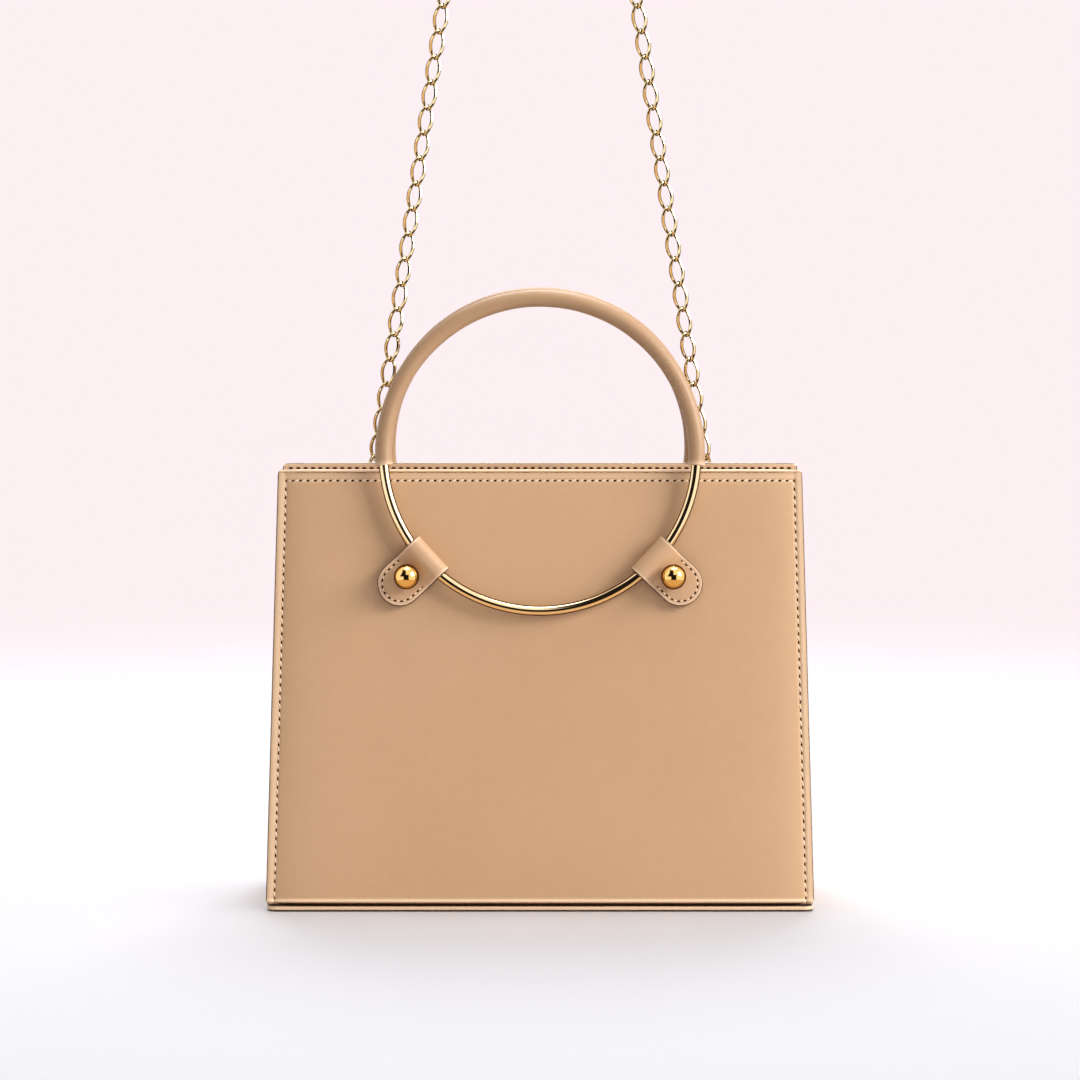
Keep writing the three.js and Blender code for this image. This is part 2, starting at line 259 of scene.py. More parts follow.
def shell(columns: int, rows: int, outer: Placing, inner: Placing) -> bmesh.types.BMesh:
    """A closed wall between two skins, each a grid whose corners are placed one by one.

    Args:
        columns: Number of faces along the grid.
        rows: Number of faces across it.
        outer: Gives a place of the outer skin from its column and row.
        inner: The same for the inner skin.

    Returns:
        The closed mesh, its faces pointing out.
    """
    bm = bmesh.new()
    for number, placing in enumerate((outer, inner)):
        made = bmesh.ops.create_grid(bm, x_segments=columns, y_segments=rows, size=0.5)["verts"]
        for vert in made:
            column = round((vert.co.x + 0.5) * columns)
            row = round((vert.co.y + 0.5) * rows)
            vert.co = placing(column, row)
        for face in {face for vert in made for face in vert.link_faces}:
            face.material_index = number
    edges = [edge for edge in bm.edges if edge.is_boundary]
    bmesh.ops.bridge_loops(bm, edges=edges)
    bmesh.ops.recalc_face_normals(bm, faces=bm.faces)
    return bm


def mark(bm: bmesh.types.BMesh, name: str, amount: Callable[[Vector], float]) -> None:
    """Writes a share at each corner of a mesh, for its finish to read.

    Args:
        bm: The mesh to mark.
        name: What is marked: rims, which are darkened by edge paint and painted shade, and folds,
            which are paler from stretching and from a painted highlight.
        amount: Gives the share from a place.
    """
    layer = bm.verts.layers.float.new(name)
    for vert in bm.verts:
        vert[layer] = amount(vert.co)


def wire_torus(steps: int, sides: int) -> bmesh.types.BMesh:
    """A torus about Z with a ring of radius one and a wire of radius a tenth.

    Args:
        steps: Number of sections round the ring.
        sides: Number of sides of the wire.

    Returns:
        The closed mesh.
    """
    bm = bmesh.new()
    section = bmesh.ops.create_circle(bm, segments=sides, radius=0.1)["verts"]
    turn = Matrix.Translation((1, 0, 0)) @ Matrix.Rotation(math.pi / 2, 4, "X")
    bmesh.ops.transform(bm, matrix=turn, verts=section)
    bmesh.ops.spin(
        bm, geom=bm.verts[:] + bm.edges[:], cent=(0, 0, 0), axis=(0, 0, 1),
        angle=math.tau, steps=steps, use_merge=True,
    )
    bmesh.ops.remove_doubles(bm, verts=bm.verts, dist=DOUBLES)
    bmesh.ops.recalc_face_normals(bm, faces=bm.faces)
    return bm


def wire_loop(
    line: Callable[[float], Vector], wire: float, steps: int, sides: int
) -> bmesh.types.BMesh:
    """Round wire along a closed line about the origin.

    Args:
        line: Gives a point of the line from an angle.
        wire: Radius of the wire.
        steps: Number of sections along the line.
        sides: Number of sides of the wire.

    Returns:
        The closed mesh.
    """
    bm = wire_torus(steps, sides)
    small = 1e-3
    for vert in bm.verts:
        angle = math.atan2(vert.co.y, vert.co.x)
        out = (math.hypot(vert.co.x, vert.co.y) - 1) * 10
        centre = line(angle)
        along = (line(angle + small) - line(angle - small)).normalized()
        away = (centre - along * centre.dot(along)).normalized()
        vert.co = centre + (away * out + along.cross(away) * (vert.co.z * 10)) * wire
    bmesh.ops.recalc_face_normals(bm, faces=bm.faces)
    return bm


def lathe(profile: Sequence[tuple[float, float]], steps: int) -> bmesh.types.BMesh:
    """A turned piece about Z.

    Args:
        profile: Radius and height of each point, from one end to the other.
        steps: Number of sides.

    Returns:
        The closed mesh.
    """
    bm = bmesh.new()
    line = [bm.verts.new((radius, 0, height)) for radius, height in profile]
    edges = [bm.edges.new(pair) for pair in zip(line, line[1:])]
    bmesh.ops.spin(
        bm, geom=line + edges, cent=(0, 0, 0), axis=(0, 0, 1),
        angle=math.tau, steps=steps, use_merge=True,
    )
    bmesh.ops.remove_doubles(bm, verts=bm.verts, dist=DOUBLES)
    bmesh.ops.recalc_face_normals(bm, faces=bm.faces)
    return bm


def add_copies(bm: bmesh.types.BMesh, part: bmesh.types.BMesh, places: Iterable[Matrix]) -> None:
    """Adds a copy of a small mesh at each place.

    Args:
        bm: The mesh that grows.
        part: The mesh to repeat.
        places: A matrix for each copy.
    """
    mesh = bpy.data.meshes.new("repeated")
    part.to_mesh(mesh)
    for place in places:
        before = len(bm.verts)
        bm.from_mesh(mesh)
        bm.verts.ensure_lookup_table()
        bmesh.ops.transform(bm, matrix=place, verts=bm.verts[before:])
    bpy.data.meshes.remove(mesh)


def make_piece(
    name: str, bm: bmesh.types.BMesh, finishes: Sequence[bpy.types.Material],
    nodes: Sequence[str] = (), body: str = "bag", place: Matrix | None = None,
) -> bpy.types.Object:
    """Makes a mesh a piece of the bag: placed, dressed and riding on its body.

    Args:
        name: Name of the piece.
        bm: Its mesh, which is freed.
        finishes: Its materials, by the faces' material numbers.
        nodes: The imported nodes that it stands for.
        body: The body that it moves with.
        place: Matrix from the mesh's own frame to the row frame.

    Returns:
        The new object.
    """
    if place is not None:
        bmesh.ops.transform(bm, matrix=place, verts=bm.verts)
    mesh = bpy.data.meshes.new(name)
    bm.to_mesh(mesh)
    bm.free()
    for finish in finishes:
        mesh.materials.append(finish)
    mesh.shade_smooth()
    mesh.set_sharp_from_angle(angle=SHARP_ANGLE)
    piece = bpy.data.objects.new(name, mesh)
    bpy.context.scene.collection.objects.link(piece)
    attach(piece, body)
    if nodes:
        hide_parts(*nodes)
    log.info("%s: %d faces, on %s", name, len(mesh.polygons), body)
    return piece


# Finishes


class Board:
    """Adds nodes to a tree and links them."""

    def __init__(self, tree: bpy.types.NodeTree) -> None:
        """Keeps the tree that the nodes go into."""
        self.tree = tree

    def add(self, kind: str, inputs: dict | None = None, **settings: object) -> bpy.types.Node:
        """Adds a node.

        Args:
            kind: Its type, without the common start.
            inputs: A value or a socket for each input, by name or number.
            **settings: Values of the node's own properties.

        Returns:
            The new node.
        """
        node = self.tree.nodes.new("ShaderNode" + kind)
        for key, value in settings.items():
            setattr(node, key, value)
        for key, value in (inputs or {}).items():
            if isinstance(value, bpy.types.NodeSocket):
                self.tree.links.new(value, node.inputs[key])
            else:
                node.inputs[key].default_value = value
        return node

    def math(self, operation: str, *values: object, clamp: bool = False) -> bpy.types.NodeSocket:
        """A sum, product or other operation on numbers.

        Args:
            operation: The operation's name.
            *values: Its numbers or sockets.
            clamp: Whether the result is kept from 0 to 1.

        Returns:
            The result's socket.
        """
        node = self.add("Math", dict(enumerate(values)), operation=operation, use_clamp=clamp)
        return node.outputs[0]

    def ramp(self, value: object, *limits: float) -> bpy.types.NodeSocket:
        """Maps a number softly from one range to another.

        Args:
            value: The number's socket.
            *limits: From low, from high, to low and to high.

        Returns:
            The result's socket.
        """
        node = self.add(
            "MapRange", dict(enumerate((value, *limits))), interpolation_type="SMOOTHSTEP"
        )
        return node.outputs[0]

    def blend(self, share: object, first: object, second: object) -> bpy.types.NodeSocket:
        """Mixes two colours.

        Args:
            share: How much of the second.
            first: The first colour.
            second: The second colour.

        Returns:
            The mixed colour's socket.
        """
        node = self.add("Mix", {0: share, 6: first, 7: second}, data_type="RGBA")
        return node.outputs[2]

    def noise(self, vector: object, scale: object, detail: float = 2.0) -> bpy.types.NodeSocket:
        """Soft noise over a vector, from 0 to 1."""
        node = self.add("TexNoise", {"Vector": vector, "Scale": scale, "Detail": detail})
        return node.outputs["Fac"]


class Effects:
    """The node groups that several finishes share, each built once."""

    def __init__(self) -> None:
        """Builds the groups."""
        self.grain = self._grain()
        self.paint = self._paint_and_shade()
        self.polish = self._polish()

    @staticmethod
    def _group(
        name: str, inputs: dict[str, object], outputs: dict[str, str]
    ) -> tuple[Board, bpy.types.Node, bpy.types.Node]:
        """Starts a group.

        Args:
            name: Its name.
            inputs: Each input's name and default, a number, a colour or none for a vector.
            outputs: Each output's name and socket type.

        Returns:
            The board, the node of its inputs and the node of its outputs.
        """
        tree = bpy.data.node_groups.new(name, "ShaderNodeTree")
        for key, value in inputs.items():
            if value is None:
                kind = "NodeSocketVector"
            else:
                kind = "NodeSocketFloat" if isinstance(value, float) else "NodeSocketColor"
            socket = tree.interface.new_socket(name=key, in_out="INPUT", socket_type=kind)
            if value is not None:
                socket.default_value = value
        for key, kind in outputs.items():
            tree.interface.new_socket(name=key, in_out="OUTPUT", socket_type=kind)
        board = Board(tree)
        return board, tree.nodes.new("NodeGroupInput"), tree.nodes.new("NodeGroupOutput")

    def _grain(self) -> bpy.types.NodeTree:
        """Fine leather grain with slow changes of tone.

        Returns:
            The group, with a colour, a roughness and a height.
        """
        board, given, result = self._group(
            "leather_grain",
            {"Vector": None, "Colour": (0.5, 0.3, 0.2, 1.0), "Shade": (0.4, 0.2, 0.1, 1.0),
             "Grain Scale": 1600.0, "Roughness": 0.5},
            {"Colour": "NodeSocketColor", "Roughness": "NodeSocketFloat",
             "Height": "NodeSocketFloat"},
        )
        vector, scale = given.outputs["Vector"], given.outputs["Grain Scale"]
        # Patches a few centimetres wide, and mottling of a few millimetres.
        slow = board.ramp(board.noise(vector, 14.0, 3.0), 0.3, 0.72, 0.0, 0.34)
        mottle = board.ramp(board.noise(vector, 240.0), 0.3, 0.75, 0.0, 0.14)
        # Pebbles at the grain's own scale, and pores 2.7 times finer.
        pebbles = board.add(
            "TexVoronoi", {"Vector": vector, "Scale": scale, "Randomness": 0.9},
            feature="SMOOTH_F1",
        ).outputs["Distance"]
        creases = board.ramp(pebbles, 0.35, 0.85, 0.0, 1.0)
        pore_noise = board.noise(vector, board.math("MULTIPLY", scale, 2.7))
        pores = board.ramp(pore_noise, 0.4, 0.7, 0.0, 1.0)
        share = board.math("ADD", slow, mottle)
        share = board.math("MULTIPLY_ADD", creases, 0.1, share, clamp=True)
        dull = board.math("MULTIPLY_ADD", mottle, 0.5, given.outputs["Roughness"])
        # Creases between the pebbles go down, and pores a little up.
        height = board.math("MULTIPLY_ADD", creases, -0.7, board.math("MULTIPLY", pores, 0.3))
        fill(board, result, {
            "Colour": board.blend(share, given.outputs["Colour"], given.outputs["Shade"]),
            "Roughness": board.math("MULTIPLY_ADD", creases, 0.06, dull), "Height": height,
        })
        return board.tree

    def _paint_and_shade(self) -> bpy.types.NodeTree:
        """Edge paint along cut leather, and painted shade along creases, gaps and edges that turn
        away, a little uneven where it ends.

        Returns:
            The group, with a colour and a roughness.
        """
        board, given, result = self._group(
            "edge_paint_and_shade",
            {"Vector": None, "Colour": (0.5, 0.3, 0.2, 1.0), "Paint": (0.3, 0.15, 0.1, 1.0),
             "Amount": 0.0, "Roughness": 0.5},
            {"Colour": "NodeSocketColor", "Roughness": "NodeSocketFloat"},
        )
        uneven = board.ramp(board.noise(given.outputs["Vector"], 900.0), 0.2, 0.8, -0.16, 0.16)
        amount = board.math("ADD", given.outputs["Amount"], uneven)
        edge = board.ramp(amount, 0.35, 0.75, 0.0, 1.0)
        fill(board, result, {
            "Colour": board.blend(edge, given.outputs["Colour"], given.outputs["Paint"]),
            "Roughness": board.math("MULTIPLY_ADD", edge, -0.12, given.outputs["Roughness"]),
        })
        return board.tree

    def _polish(self) -> bpy.types.NodeTree:
        """Polished plating with faint wear and hairline scratches.

        Returns:
            The group, with a colour, a roughness and a height.
        """
        board, given, result = self._group(
            "polished_plating",
            {"Vector": None, "Colour": (0.9, 0.7, 0.4, 1.0), "Deep": (0.8, 0.5, 0.2, 1.0),
             "Roughness": 0.1},
            {"Colour": "NodeSocketColor", "Roughness": "NodeSocketFloat",
             "Height": "NodeSocketFloat"},
        )
        vector = given.outputs["Vector"]
        worn = board.ramp(board.noise(vector, 130.0, 3.0), 0.4, 0.75, 0.0, 1.0)
        share = board.math("MULTIPLY", worn, 0.5)
        stretched = board.add("Mapping", {"Vector": vector, "Scale": (900.0, 900.0, 5200.0)})
        fill(board, result, {
            "Colour": board.blend(share, given.outputs["Colour"], given.outputs["Deep"]),
            "Roughness": board.math("MULTIPLY_ADD", worn, 0.07, given.outputs["Roughness"]),
            "Height": board.noise(stretched.outputs[0], 1.0),
        })
        return board.tree


@dataclass(frozen=True)
class Leather:
    """A leather finish, with edge paint and painted shade where the mesh marks its rims, and paler
    where it marks folds, from stretching and from a painted highlight.
    """

    name: str
    colour: Colour
    shade: Colour
    # paint: edge paint, which on the rims also serves as painted shade. pale: the tone of folds,
    # partly stretched leather and partly a painted highlight.
    paint: Colour
    pale: Colour = (0.94, 0.69, 0.46, 1.0)
    roughness: float = 0.46
    grain_scale: float = 1500.0
    grain_depth: float = 0.00005
    grain_strength: float = 0.55
    shine: float = 0.42

    def build(self, effects: Effects) -> bpy.types.Material:
        """Makes the material.

        Args:
            effects: The shared node groups.

        Returns:
            The material.
        """
        material, board, shader = start_material(self.name)
        vector = board.add("TexCoord").outputs["Object"]
        grain = board.add("Group", node_tree=effects.grain)
        fill(board, grain, {
            "Vector": vector, "Colour": self.colour, "Shade": self.shade,
            "Grain Scale": self.grain_scale, "Roughness": self.roughness,
        })
        # The rim mark mixes in the paint colour as edge paint and painted shade. The fold mark mixes
        # in the pale colour as stretched leather and a painted highlight.
        rim = board.add("Attribute", attribute_name=RIM_PAINT_AND_SHADE).outputs["Fac"]
        fold = board.add("Attribute", attribute_name=FOLD_STRETCH_AND_HIGHLIGHT).outputs["Fac"]
        paint = board.add("Group", node_tree=effects.paint)
        fill(board, paint, {
            "Vector": vector, "Colour": board.blend(fold, grain.outputs["Colour"], self.pale),
            "Paint": self.paint, "Amount": rim, "Roughness": grain.outputs["Roughness"],
        })
        relief = board.add("Bump", {
            "Height": grain.outputs["Height"], "Distance": self.grain_depth,
            "Strength": self.grain_strength,
        })
        fill(board, shader, {
            "Base Color": paint.outputs["Colour"], "Roughness": paint.outputs["Roughness"],
            "Normal": relief.outputs["Normal"], "Specular IOR Level": self.shine,
        })
        return material


@dataclass(frozen=True)
class Plating:
    """A polished metal finish, with painted shade at grazing angles that stands in for dark
    reflections along its edges.
    """

    name: str
    colour: Colour
    deep: Colour
    # edge: the painted shade that the colour and the reflection's tint turn to at grazing angles.
    edge: Colour
    roughness: float
    grazing_shade_start: float = 0.26
    grazing_shade_full: float = 0.56
    grazing_shade_share: float = 0.96
    scratch_depth: float = 0.000004
    scratch_strength: float = 0.2

    def build(self, effects: Effects) -> bpy.types.Material:
        """Makes the material.

        Args:
            effects: The shared node groups.

        Returns:
            The material.
        """
        material, board, shader = start_material(self.name)
        polish = board.add("Group", node_tree=effects.polish)
        fill(board, polish, {
            "Vector": board.add("TexCoord").outputs["Object"], "Colour": self.colour,
            "Deep": self.deep, "Roughness": self.roughness,
        })
        relief = board.add("Bump", {
            "Height": polish.outputs["Height"], "Distance": self.scratch_depth,
            "Strength": self.scratch_strength,
        })
        # Painted shade: towards grazing angles the colour and the reflection's tint go dark, as a
        # dark reflection would.
        facing = board.add("LayerWeight", {"Blend": 0.5}).outputs["Facing"]
        turned = board.ramp(facing, self.grazing_shade_start, self.grazing_shade_full, 0.0, self.grazing_shade_share)
        fill(board, shader, {
            "Base Color": board.blend(turned, polish.outputs["Colour"], self.edge),
            "Roughness": polish.outputs["Roughness"], "Specular Tint": self.edge,
            "Normal": relief.outputs["Normal"], "Metallic": 1.0,
        })
        return material


@dataclass(frozen=True)
class Thread:
    """Sewing thread, or the painted shade of the needle holes that it goes through."""

    name: str
    colour: Colour
    shade: Colour
    roughness: float = 0.6
    shine: float = 0.3
    fibre_scale: float = 4200.0
    fibre_depth: float = 0.00004

    def build(self, _effects: Effects) -> bpy.types.Material:
        """Makes the material.

        Args:
            _effects: The shared node groups, of which it needs none.

        Returns:
            The material.
        """
        material, board, shader = start_material(self.name)
        vector = board.add("TexCoord").outputs["Object"]
        fibre = board.ramp(board.noise(vector, self.fibre_scale), 0.35, 0.7, 0.0, 1.0)
        relief = board.add("Bump", {
            "Height": fibre, "Distance": self.fibre_depth, "Strength": 0.5,
        })
        fill(board, shader, {
            "Base Color": board.blend(fibre, self.colour, self.shade),
            "Roughness": self.roughness, "Normal": relief.outputs["Normal"],
            "Specular IOR Level": self.shine,
        })
        return material


def start_material(name: str) -> tuple[bpy.types.Material, Board, bpy.types.Node]:
    """Makes an empty node material.

    Args:
        name: Its name.

    Returns:
        The material, its board and its shader.
    """
    material = bpy.data.materials.new(name)
    material.use_nodes = True
    board = Board(material.node_tree)
    return material, board, material.node_tree.nodes["Principled BSDF"]


def fill(board: Board, node: bpy.types.Node, inputs: dict[str, object]) -> None:
    """Sets or links the inputs of a node that is already there.

    Args:
        board: The board that it is on.
        node: The node.
        inputs: A value or a socket for each input.
    """
    for key, value in inputs.items():
        if isinstance(value, bpy.types.NodeSocket):
            board.tree.links.new(value, node.inputs[key])
        else:
            node.inputs[key].default_value = value


CAMEL: Colour = (0.6, 0.37, 0.205, 1.0)
CAMEL_SHADE: Colour = (0.545, 0.325, 0.172, 1.0)
# Edge paint, which on the body and the straps also serves as painted shade in creases, in gaps and
# along edges that turn away.
EDGE_PAINT_AND_SHADE: Colour = (0.12, 0.055, 0.026, 1.0)


class Finishes:
    """Every material of the bag."""

    def __init__(self) -> None:
        """Builds them from the shared groups."""
        effects = Effects()
        self.body = Leather("body_leather", CAMEL, CAMEL_SHADE, EDGE_PAINT_AND_SHADE).build(effects)
        # The base's near-black paint is a painted shadow: shade in the gap under the panels and a
        # contact shadow along the board's lower edge.
        self.base = Leather(
            "base_leather", CAMEL, CAMEL_SHADE, (0.03, 0.014, 0.008, 1.0)
        ).build(effects)
        # The facing is a lighter copy of the body leather. This is painted light, which keeps the
        # inner band at the top of the back panel as bright as the lit front.
        self.facing = Leather(
            "facing_leather_painted_light", (0.8, 0.5, 0.285, 1.0), (0.71, 0.435, 0.24, 1.0), EDGE_PAINT_AND_SHADE,
            roughness=0.56,
        ).build(effects)
        self.gusset = Leather(
            "gusset_leather", (0.57, 0.345, 0.19, 1.0), (0.5, 0.295, 0.157, 1.0), EDGE_PAINT_AND_SHADE,
            roughness=0.5, grain_scale=1300.0, grain_depth=0.00007,
        ).build(effects)
        self.strap = Leather(
            "strap_leather", (0.6, 0.375, 0.215, 1.0), (0.54, 0.325, 0.178, 1.0), EDGE_PAINT_AND_SHADE,
            roughness=0.42, grain_scale=1700.0, grain_depth=0.00002,
        ).build(effects)
        self.wrap = Leather(
            "wrap_leather", (0.455, 0.275, 0.15, 1.0), (0.4, 0.235, 0.123, 1.0), EDGE_PAINT_AND_SHADE,
            roughness=0.4, grain_scale=1900.0, grain_depth=0.000015,
        ).build(effects)
        self.thread = Thread(
            "thread", (0.96, 0.76, 0.54, 1.0), (0.78, 0.56, 0.36, 1.0)
        ).build(effects)
        # The needle holes are dark, flat blobs with no shine. They are painted shade, standing in for
        # the dark inside each hole.
        self.hole = Thread(
            "needle_hole", (0.022, 0.008, 0.004, 1.0), (0.05, 0.018, 0.008, 1.0),
            roughness=0.95, shine=0.0,
        ).build(effects)
        # The third colour of each plating is its painted shade at grazing angles.
        self.gold = Plating(
            "ring_gold", (0.91, 0.7, 0.43, 1.0), (0.82, 0.58, 0.32, 1.0), (0.13, 0.06, 0.026, 1.0),
            0.05,
        ).build(effects)
        self.stud_gold = Plating(
            "stud_gold", (0.86, 0.56, 0.2, 1.0), (0.78, 0.47, 0.15, 1.0), (0.11, 0.045, 0.015, 1.0),
            0.05, grazing_shade_start=0.4, grazing_shade_full=0.75,
        ).build(effects)
        self.chain_gold = Plating(
            "chain_gold", (0.88, 0.72, 0.42, 1.0), (0.74, 0.56, 0.28, 1.0),
            (0.07, 0.045, 0.016, 1.0), 0.09, grazing_shade_start=0.16, grazing_shade_full=0.5,
        ).build(effects)


# Sewing


@dataclass(frozen=True)
class Sewing:
    """A row of stitches: a thread between two needle holes at each step."""

    pitch: float
    thread: float = 0.00046
    thread_length: float = 0.0024
    slant: float = math.radians(22)
    hole_length: float = 0.00145
    hole_width: float = 0.00125
    hole_lift: float = 0.0002

    def places(self, line: Sequence[Vector], normals: Sequence[Vector]) -> list[Matrix]:
        """Spaces stitches evenly along a line.

        Args:
            line: Points of the line, close together where it bends.
            normals: The leather's outward direction at each point.

        Returns:
            A matrix for each needle hole, x along the line and z out of the leather.
        """
        spans = [(b - a).length for a, b in zip(line, line[1:])]
        total = sum(spans)
        count = max(1, round(total / self.pitch))
        made = []
        for number in range(count + 1):
            rest = total * number / count
            index = 0
            while index < len(spans) - 1 and rest > spans[index]:
                rest -= spans[index]
                index += 1
            share = min(rest / spans[index], 1.0)
            place = line[index].lerp(line[index + 1], share)
            normal = normals[index].lerp(normals[index + 1], share)
            made.append(basis(line[index + 1] - line[index], normal, place))
        return made

    def sew(
        self, threads: bmesh.types.BMesh, holes: bmesh.types.BMesh,
        line: Sequence[Vector], normals: Sequence[Vector],
    ) -> None:
        """Adds the threads of a row, and dark blobs of painted shade at its needle holes.

        Args:
            threads: The mesh of all threads.
            holes: The mesh of all needle holes, dark blobs of painted shade.
            line: Points of the row.
            normals: The leather's outward direction at each point.
        """
        places = self.places(line, normals)
        hole = bmesh.new()
        bmesh.ops.create_uvsphere(hole, u_segments=8, v_segments=5, radius=1.0)
        size = (self.hole_length / 2, self.hole_width / 2, self.hole_lift)
        bmesh.ops.scale(hole, vec=size, verts=hole.verts)
        add_copies(holes, hole, places)
        hole.free()
        grain = bmesh.new()
        bmesh.ops.create_uvsphere(grain, u_segments=6, v_segments=6, radius=1.0)
        lying = Matrix.Rotation(math.pi / 2, 4, "Y")
        bmesh.ops.transform(grain, matrix=lying, verts=grain.verts)
        size = (self.thread_length / 2, self.thread, self.thread)
        bmesh.ops.scale(grain, vec=size, verts=grain.verts)
        tilt = Matrix.Rotation(self.slant, 4, "Z")
        middles = []
        for first, second in zip(places, places[1:]):
            step = second.translation - first.translation
            middles.append(basis(step, first.col[2].xyz, first.translation + step / 2) @ tilt)
        add_copies(threads, grain, middles)
        grain.free()


# Panels


@dataclass
class Panel:
    """One of the two leaning panels: leather over a thin pad on a stiff board."""

    side: Side
    finishes: Finishes
    corner: float = 0.002
    rim_radius: float = 0.0006
    middle_level: float = 0.00025
    side_drop: float = 0.0019
    side_fade: float = 0.007
    top_drop: float = 0.0006
    top_fade: float = 0.008
    side_inset: float = 0.0034
    top_inset: float = 0.0046
    facing_inset: float = 0.0019
    row_low: float = 0.0022
    row_points: int = 180
    thread_lap: float = 0.00002
    side_pitch: float = 0.00343
    top_pitch: float = 0.003
    groove_depth: float = 0.0003
    groove_width: float = 0.00045
    groove_overlap: float = 0.0006
    border: Ridge = Ridge(0.00013, 0.001768, 0.001)
    bead: Ridge = Ridge(0.0003, 0.000585, 0.00045)
    crease: Ridge = Ridge(-0.0004, 0.0013, 0.00022)
    foot: Ridge = Ridge(0.00045, 0.0012, 0.0006)
    # Darkening of the panel: edge paint along the sides with painted shade of the side edges turning
    # away, and edge paint along the facing's top. There is also painted shade in the crease under the
    # top bead and in the gap above the base.
    side_paint_and_shade: Fade = Fade(0.00015, 0.0007)
    facing_paint: Fade = Fade(0.00005, 0.0004)
    foot_gap_shade: Fade = Fade(0.0003, 0.0009)
    crease_shade: Ridge = Ridge(0.62, 0.0013, 0.00022)
    # Paler leather: stretched over the top bead and the foot, with a painted highlight there too.
    # Along the top border and the side borders the paler tone is only a painted highlight.
    top_stretch_highlight: Ridge = Ridge(0.95, 0.0004, 0.0007)
    band_highlight: Ridge = Ridge(0.3, 0.003, 0.0012)
    foot_stretch_highlight: Ridge = Ridge(0.85, 0.0013, 0.0006)
    side_highlight: Ridge = Ridge(0.5, 0.0017, 0.0012)
    pad: float = 0.8
    middle_step: float = 0.0052
    near_edge: tuple[float, ...] = field(default=(
        0, 0.1, 0.25, 0.45, 0.7, 0.95, 1.15, 1.3, 1.45, 1.7, 2.2, 2.7, 3.1, 3.4, 3.7, 4.0, 4.3,
        4.6, 4.9, 5.3, 5.9, 6.8, 8.0, 9.6, 11.6, 14.0, 17.0, 20.5, 25.0,
    ))

    def half_width(self, up: float) -> float:
        """Half of the panel's width at a height along it."""
        return STANCE.half_width(up / STANCE.panel_length)

    def lines(self, length: float) -> list[float]:
        """Shares at which the mesh is divided along a length, close together near the ends.

        Args:
            length: The length.

        Returns:
            Shares from 0 to 1.
        """
        near = [millimetres / 1000 for millimetres in self.near_edge]
        free = length - 2 * near[-1]
        count = round(free / self.middle_step)
        middle = [near[-1] + free * number / count for number in range(1, count)]
        far = [length - distance for distance in reversed(near)]
        return [distance / length for distance in near + middle + far]

    def settle(self, across: float, up: float) -> tuple[float, float, float]:
        """Rounds the outline's corners.

        Args:
            across: Distance from the nearer side edge.
            up: Distance from the nearer end edge.

        Returns:
            Both distances on the rounded outline, and the distance from its rim.
        """
        over, beyond = self.corner - across, self.corner - up
        if over <= 0 or beyond <= 0:
            return across, up, min(across, up)
        far = max(over, beyond)
        scale = far / math.hypot(over, beyond)
        return self.corner - over * scale, self.corner - beyond * scale, self.corner - far

    def groove(self, distance: float, inset: float) -> float:
        """How deep the leather is drawn in along a row of stitches."""
        return self.groove_depth * bump(distance, inset, self.groove_width)

    def face_level(self, from_side: float, from_top: float, from_bottom: float, rim: float) -> float:
        """Height of the outer skin over the plain face.

        Args:
            from_side: Distance from the nearer side edge.
            from_top: Distance from the top edge.
            from_bottom: Distance from the bottom edge.
            rim: Distance from the outline.

        Returns:
            The height, negative below the plain face.
        """
        level = self.middle_level - rounding(rim, self.rim_radius)
        level -= math.hypot(
            self.side_drop * math.exp(-max(from_side - self.side_inset, 0) / self.side_fade),
            self.top_drop * math.exp(-max(from_top - self.top_inset, 0) / self.top_fade),
        )
        level += self.border.at(from_side)
        if from_top > self.top_inset - self.groove_overlap:
            level -= self.groove(from_side, self.side_inset)
        if from_side > self.side_inset - self.groove_overlap:
            level -= self.groove(from_top, self.top_inset)
        return level + self.bead.at(from_top) + self.crease.at(from_top) + self.foot.at(from_bottom)

    def spot(self, x: float, y: float) -> Vector:
        """The point of the outer skin at a place, in the panel's frame.

        Args:
            x: Distance to the right of the panel's middle.
            y: Height along the panel.

        Returns:
            The point on the skin.
        """
        from_side = self.half_width(y) - abs(x)
        from_top, from_bottom = STANCE.panel_length - y, y
        rim = min(from_side, from_top, from_bottom)
        return Vector((x, y, self.face_level(from_side, from_top, from_bottom, rim)))

    def place(self, left: float, low: float) -> tuple[Vector, float, tuple[float, float, float]]:
        """Lays a corner of the mesh on the rounded outline.

        Args:
            left: Its share of the width, from the left.
            low: Its share of the height, from the bottom.

        Returns:
            The point, its distance from the rim, and from the side, top and bottom edges.
        """
        length = STANCE.panel_length
        width = 2 * self.half_width(low * length)
        across, end, rim = self.settle(min(left, 1 - left) * width, min(low, 1 - low) * length)
        x = (width / 2 - across) * (1 if left > 0.5 else -1)
        y = end if low < 0.5 else length - end
        return Vector((x, y, 0)), rim, (across, length - y, y)

    def outer(self, left: float, low: float) -> Vector:
        """The corner of the outer skin at two shares.

        Args:
            left: Its share of the width, from the left.
            low: Its share of the height, from the bottom.

        Returns:
            The point.
        """
        spot, rim, distances = self.place(left, low)
        spot.z = self.face_level(*distances, rim)
        return spot

    def inner(self, left: float, low: float) -> Vector:
        """The corner of the inner skin at two shares.

        Args:
            left: Its share of the width, from the left.
            low: Its share of the height, from the bottom.

        Returns:
            The point.
        """
        spot, rim, _ = self.place(left, low)
        spot.z = rounding(rim, self.rim_radius / 2) - STANCE.wall
        return spot

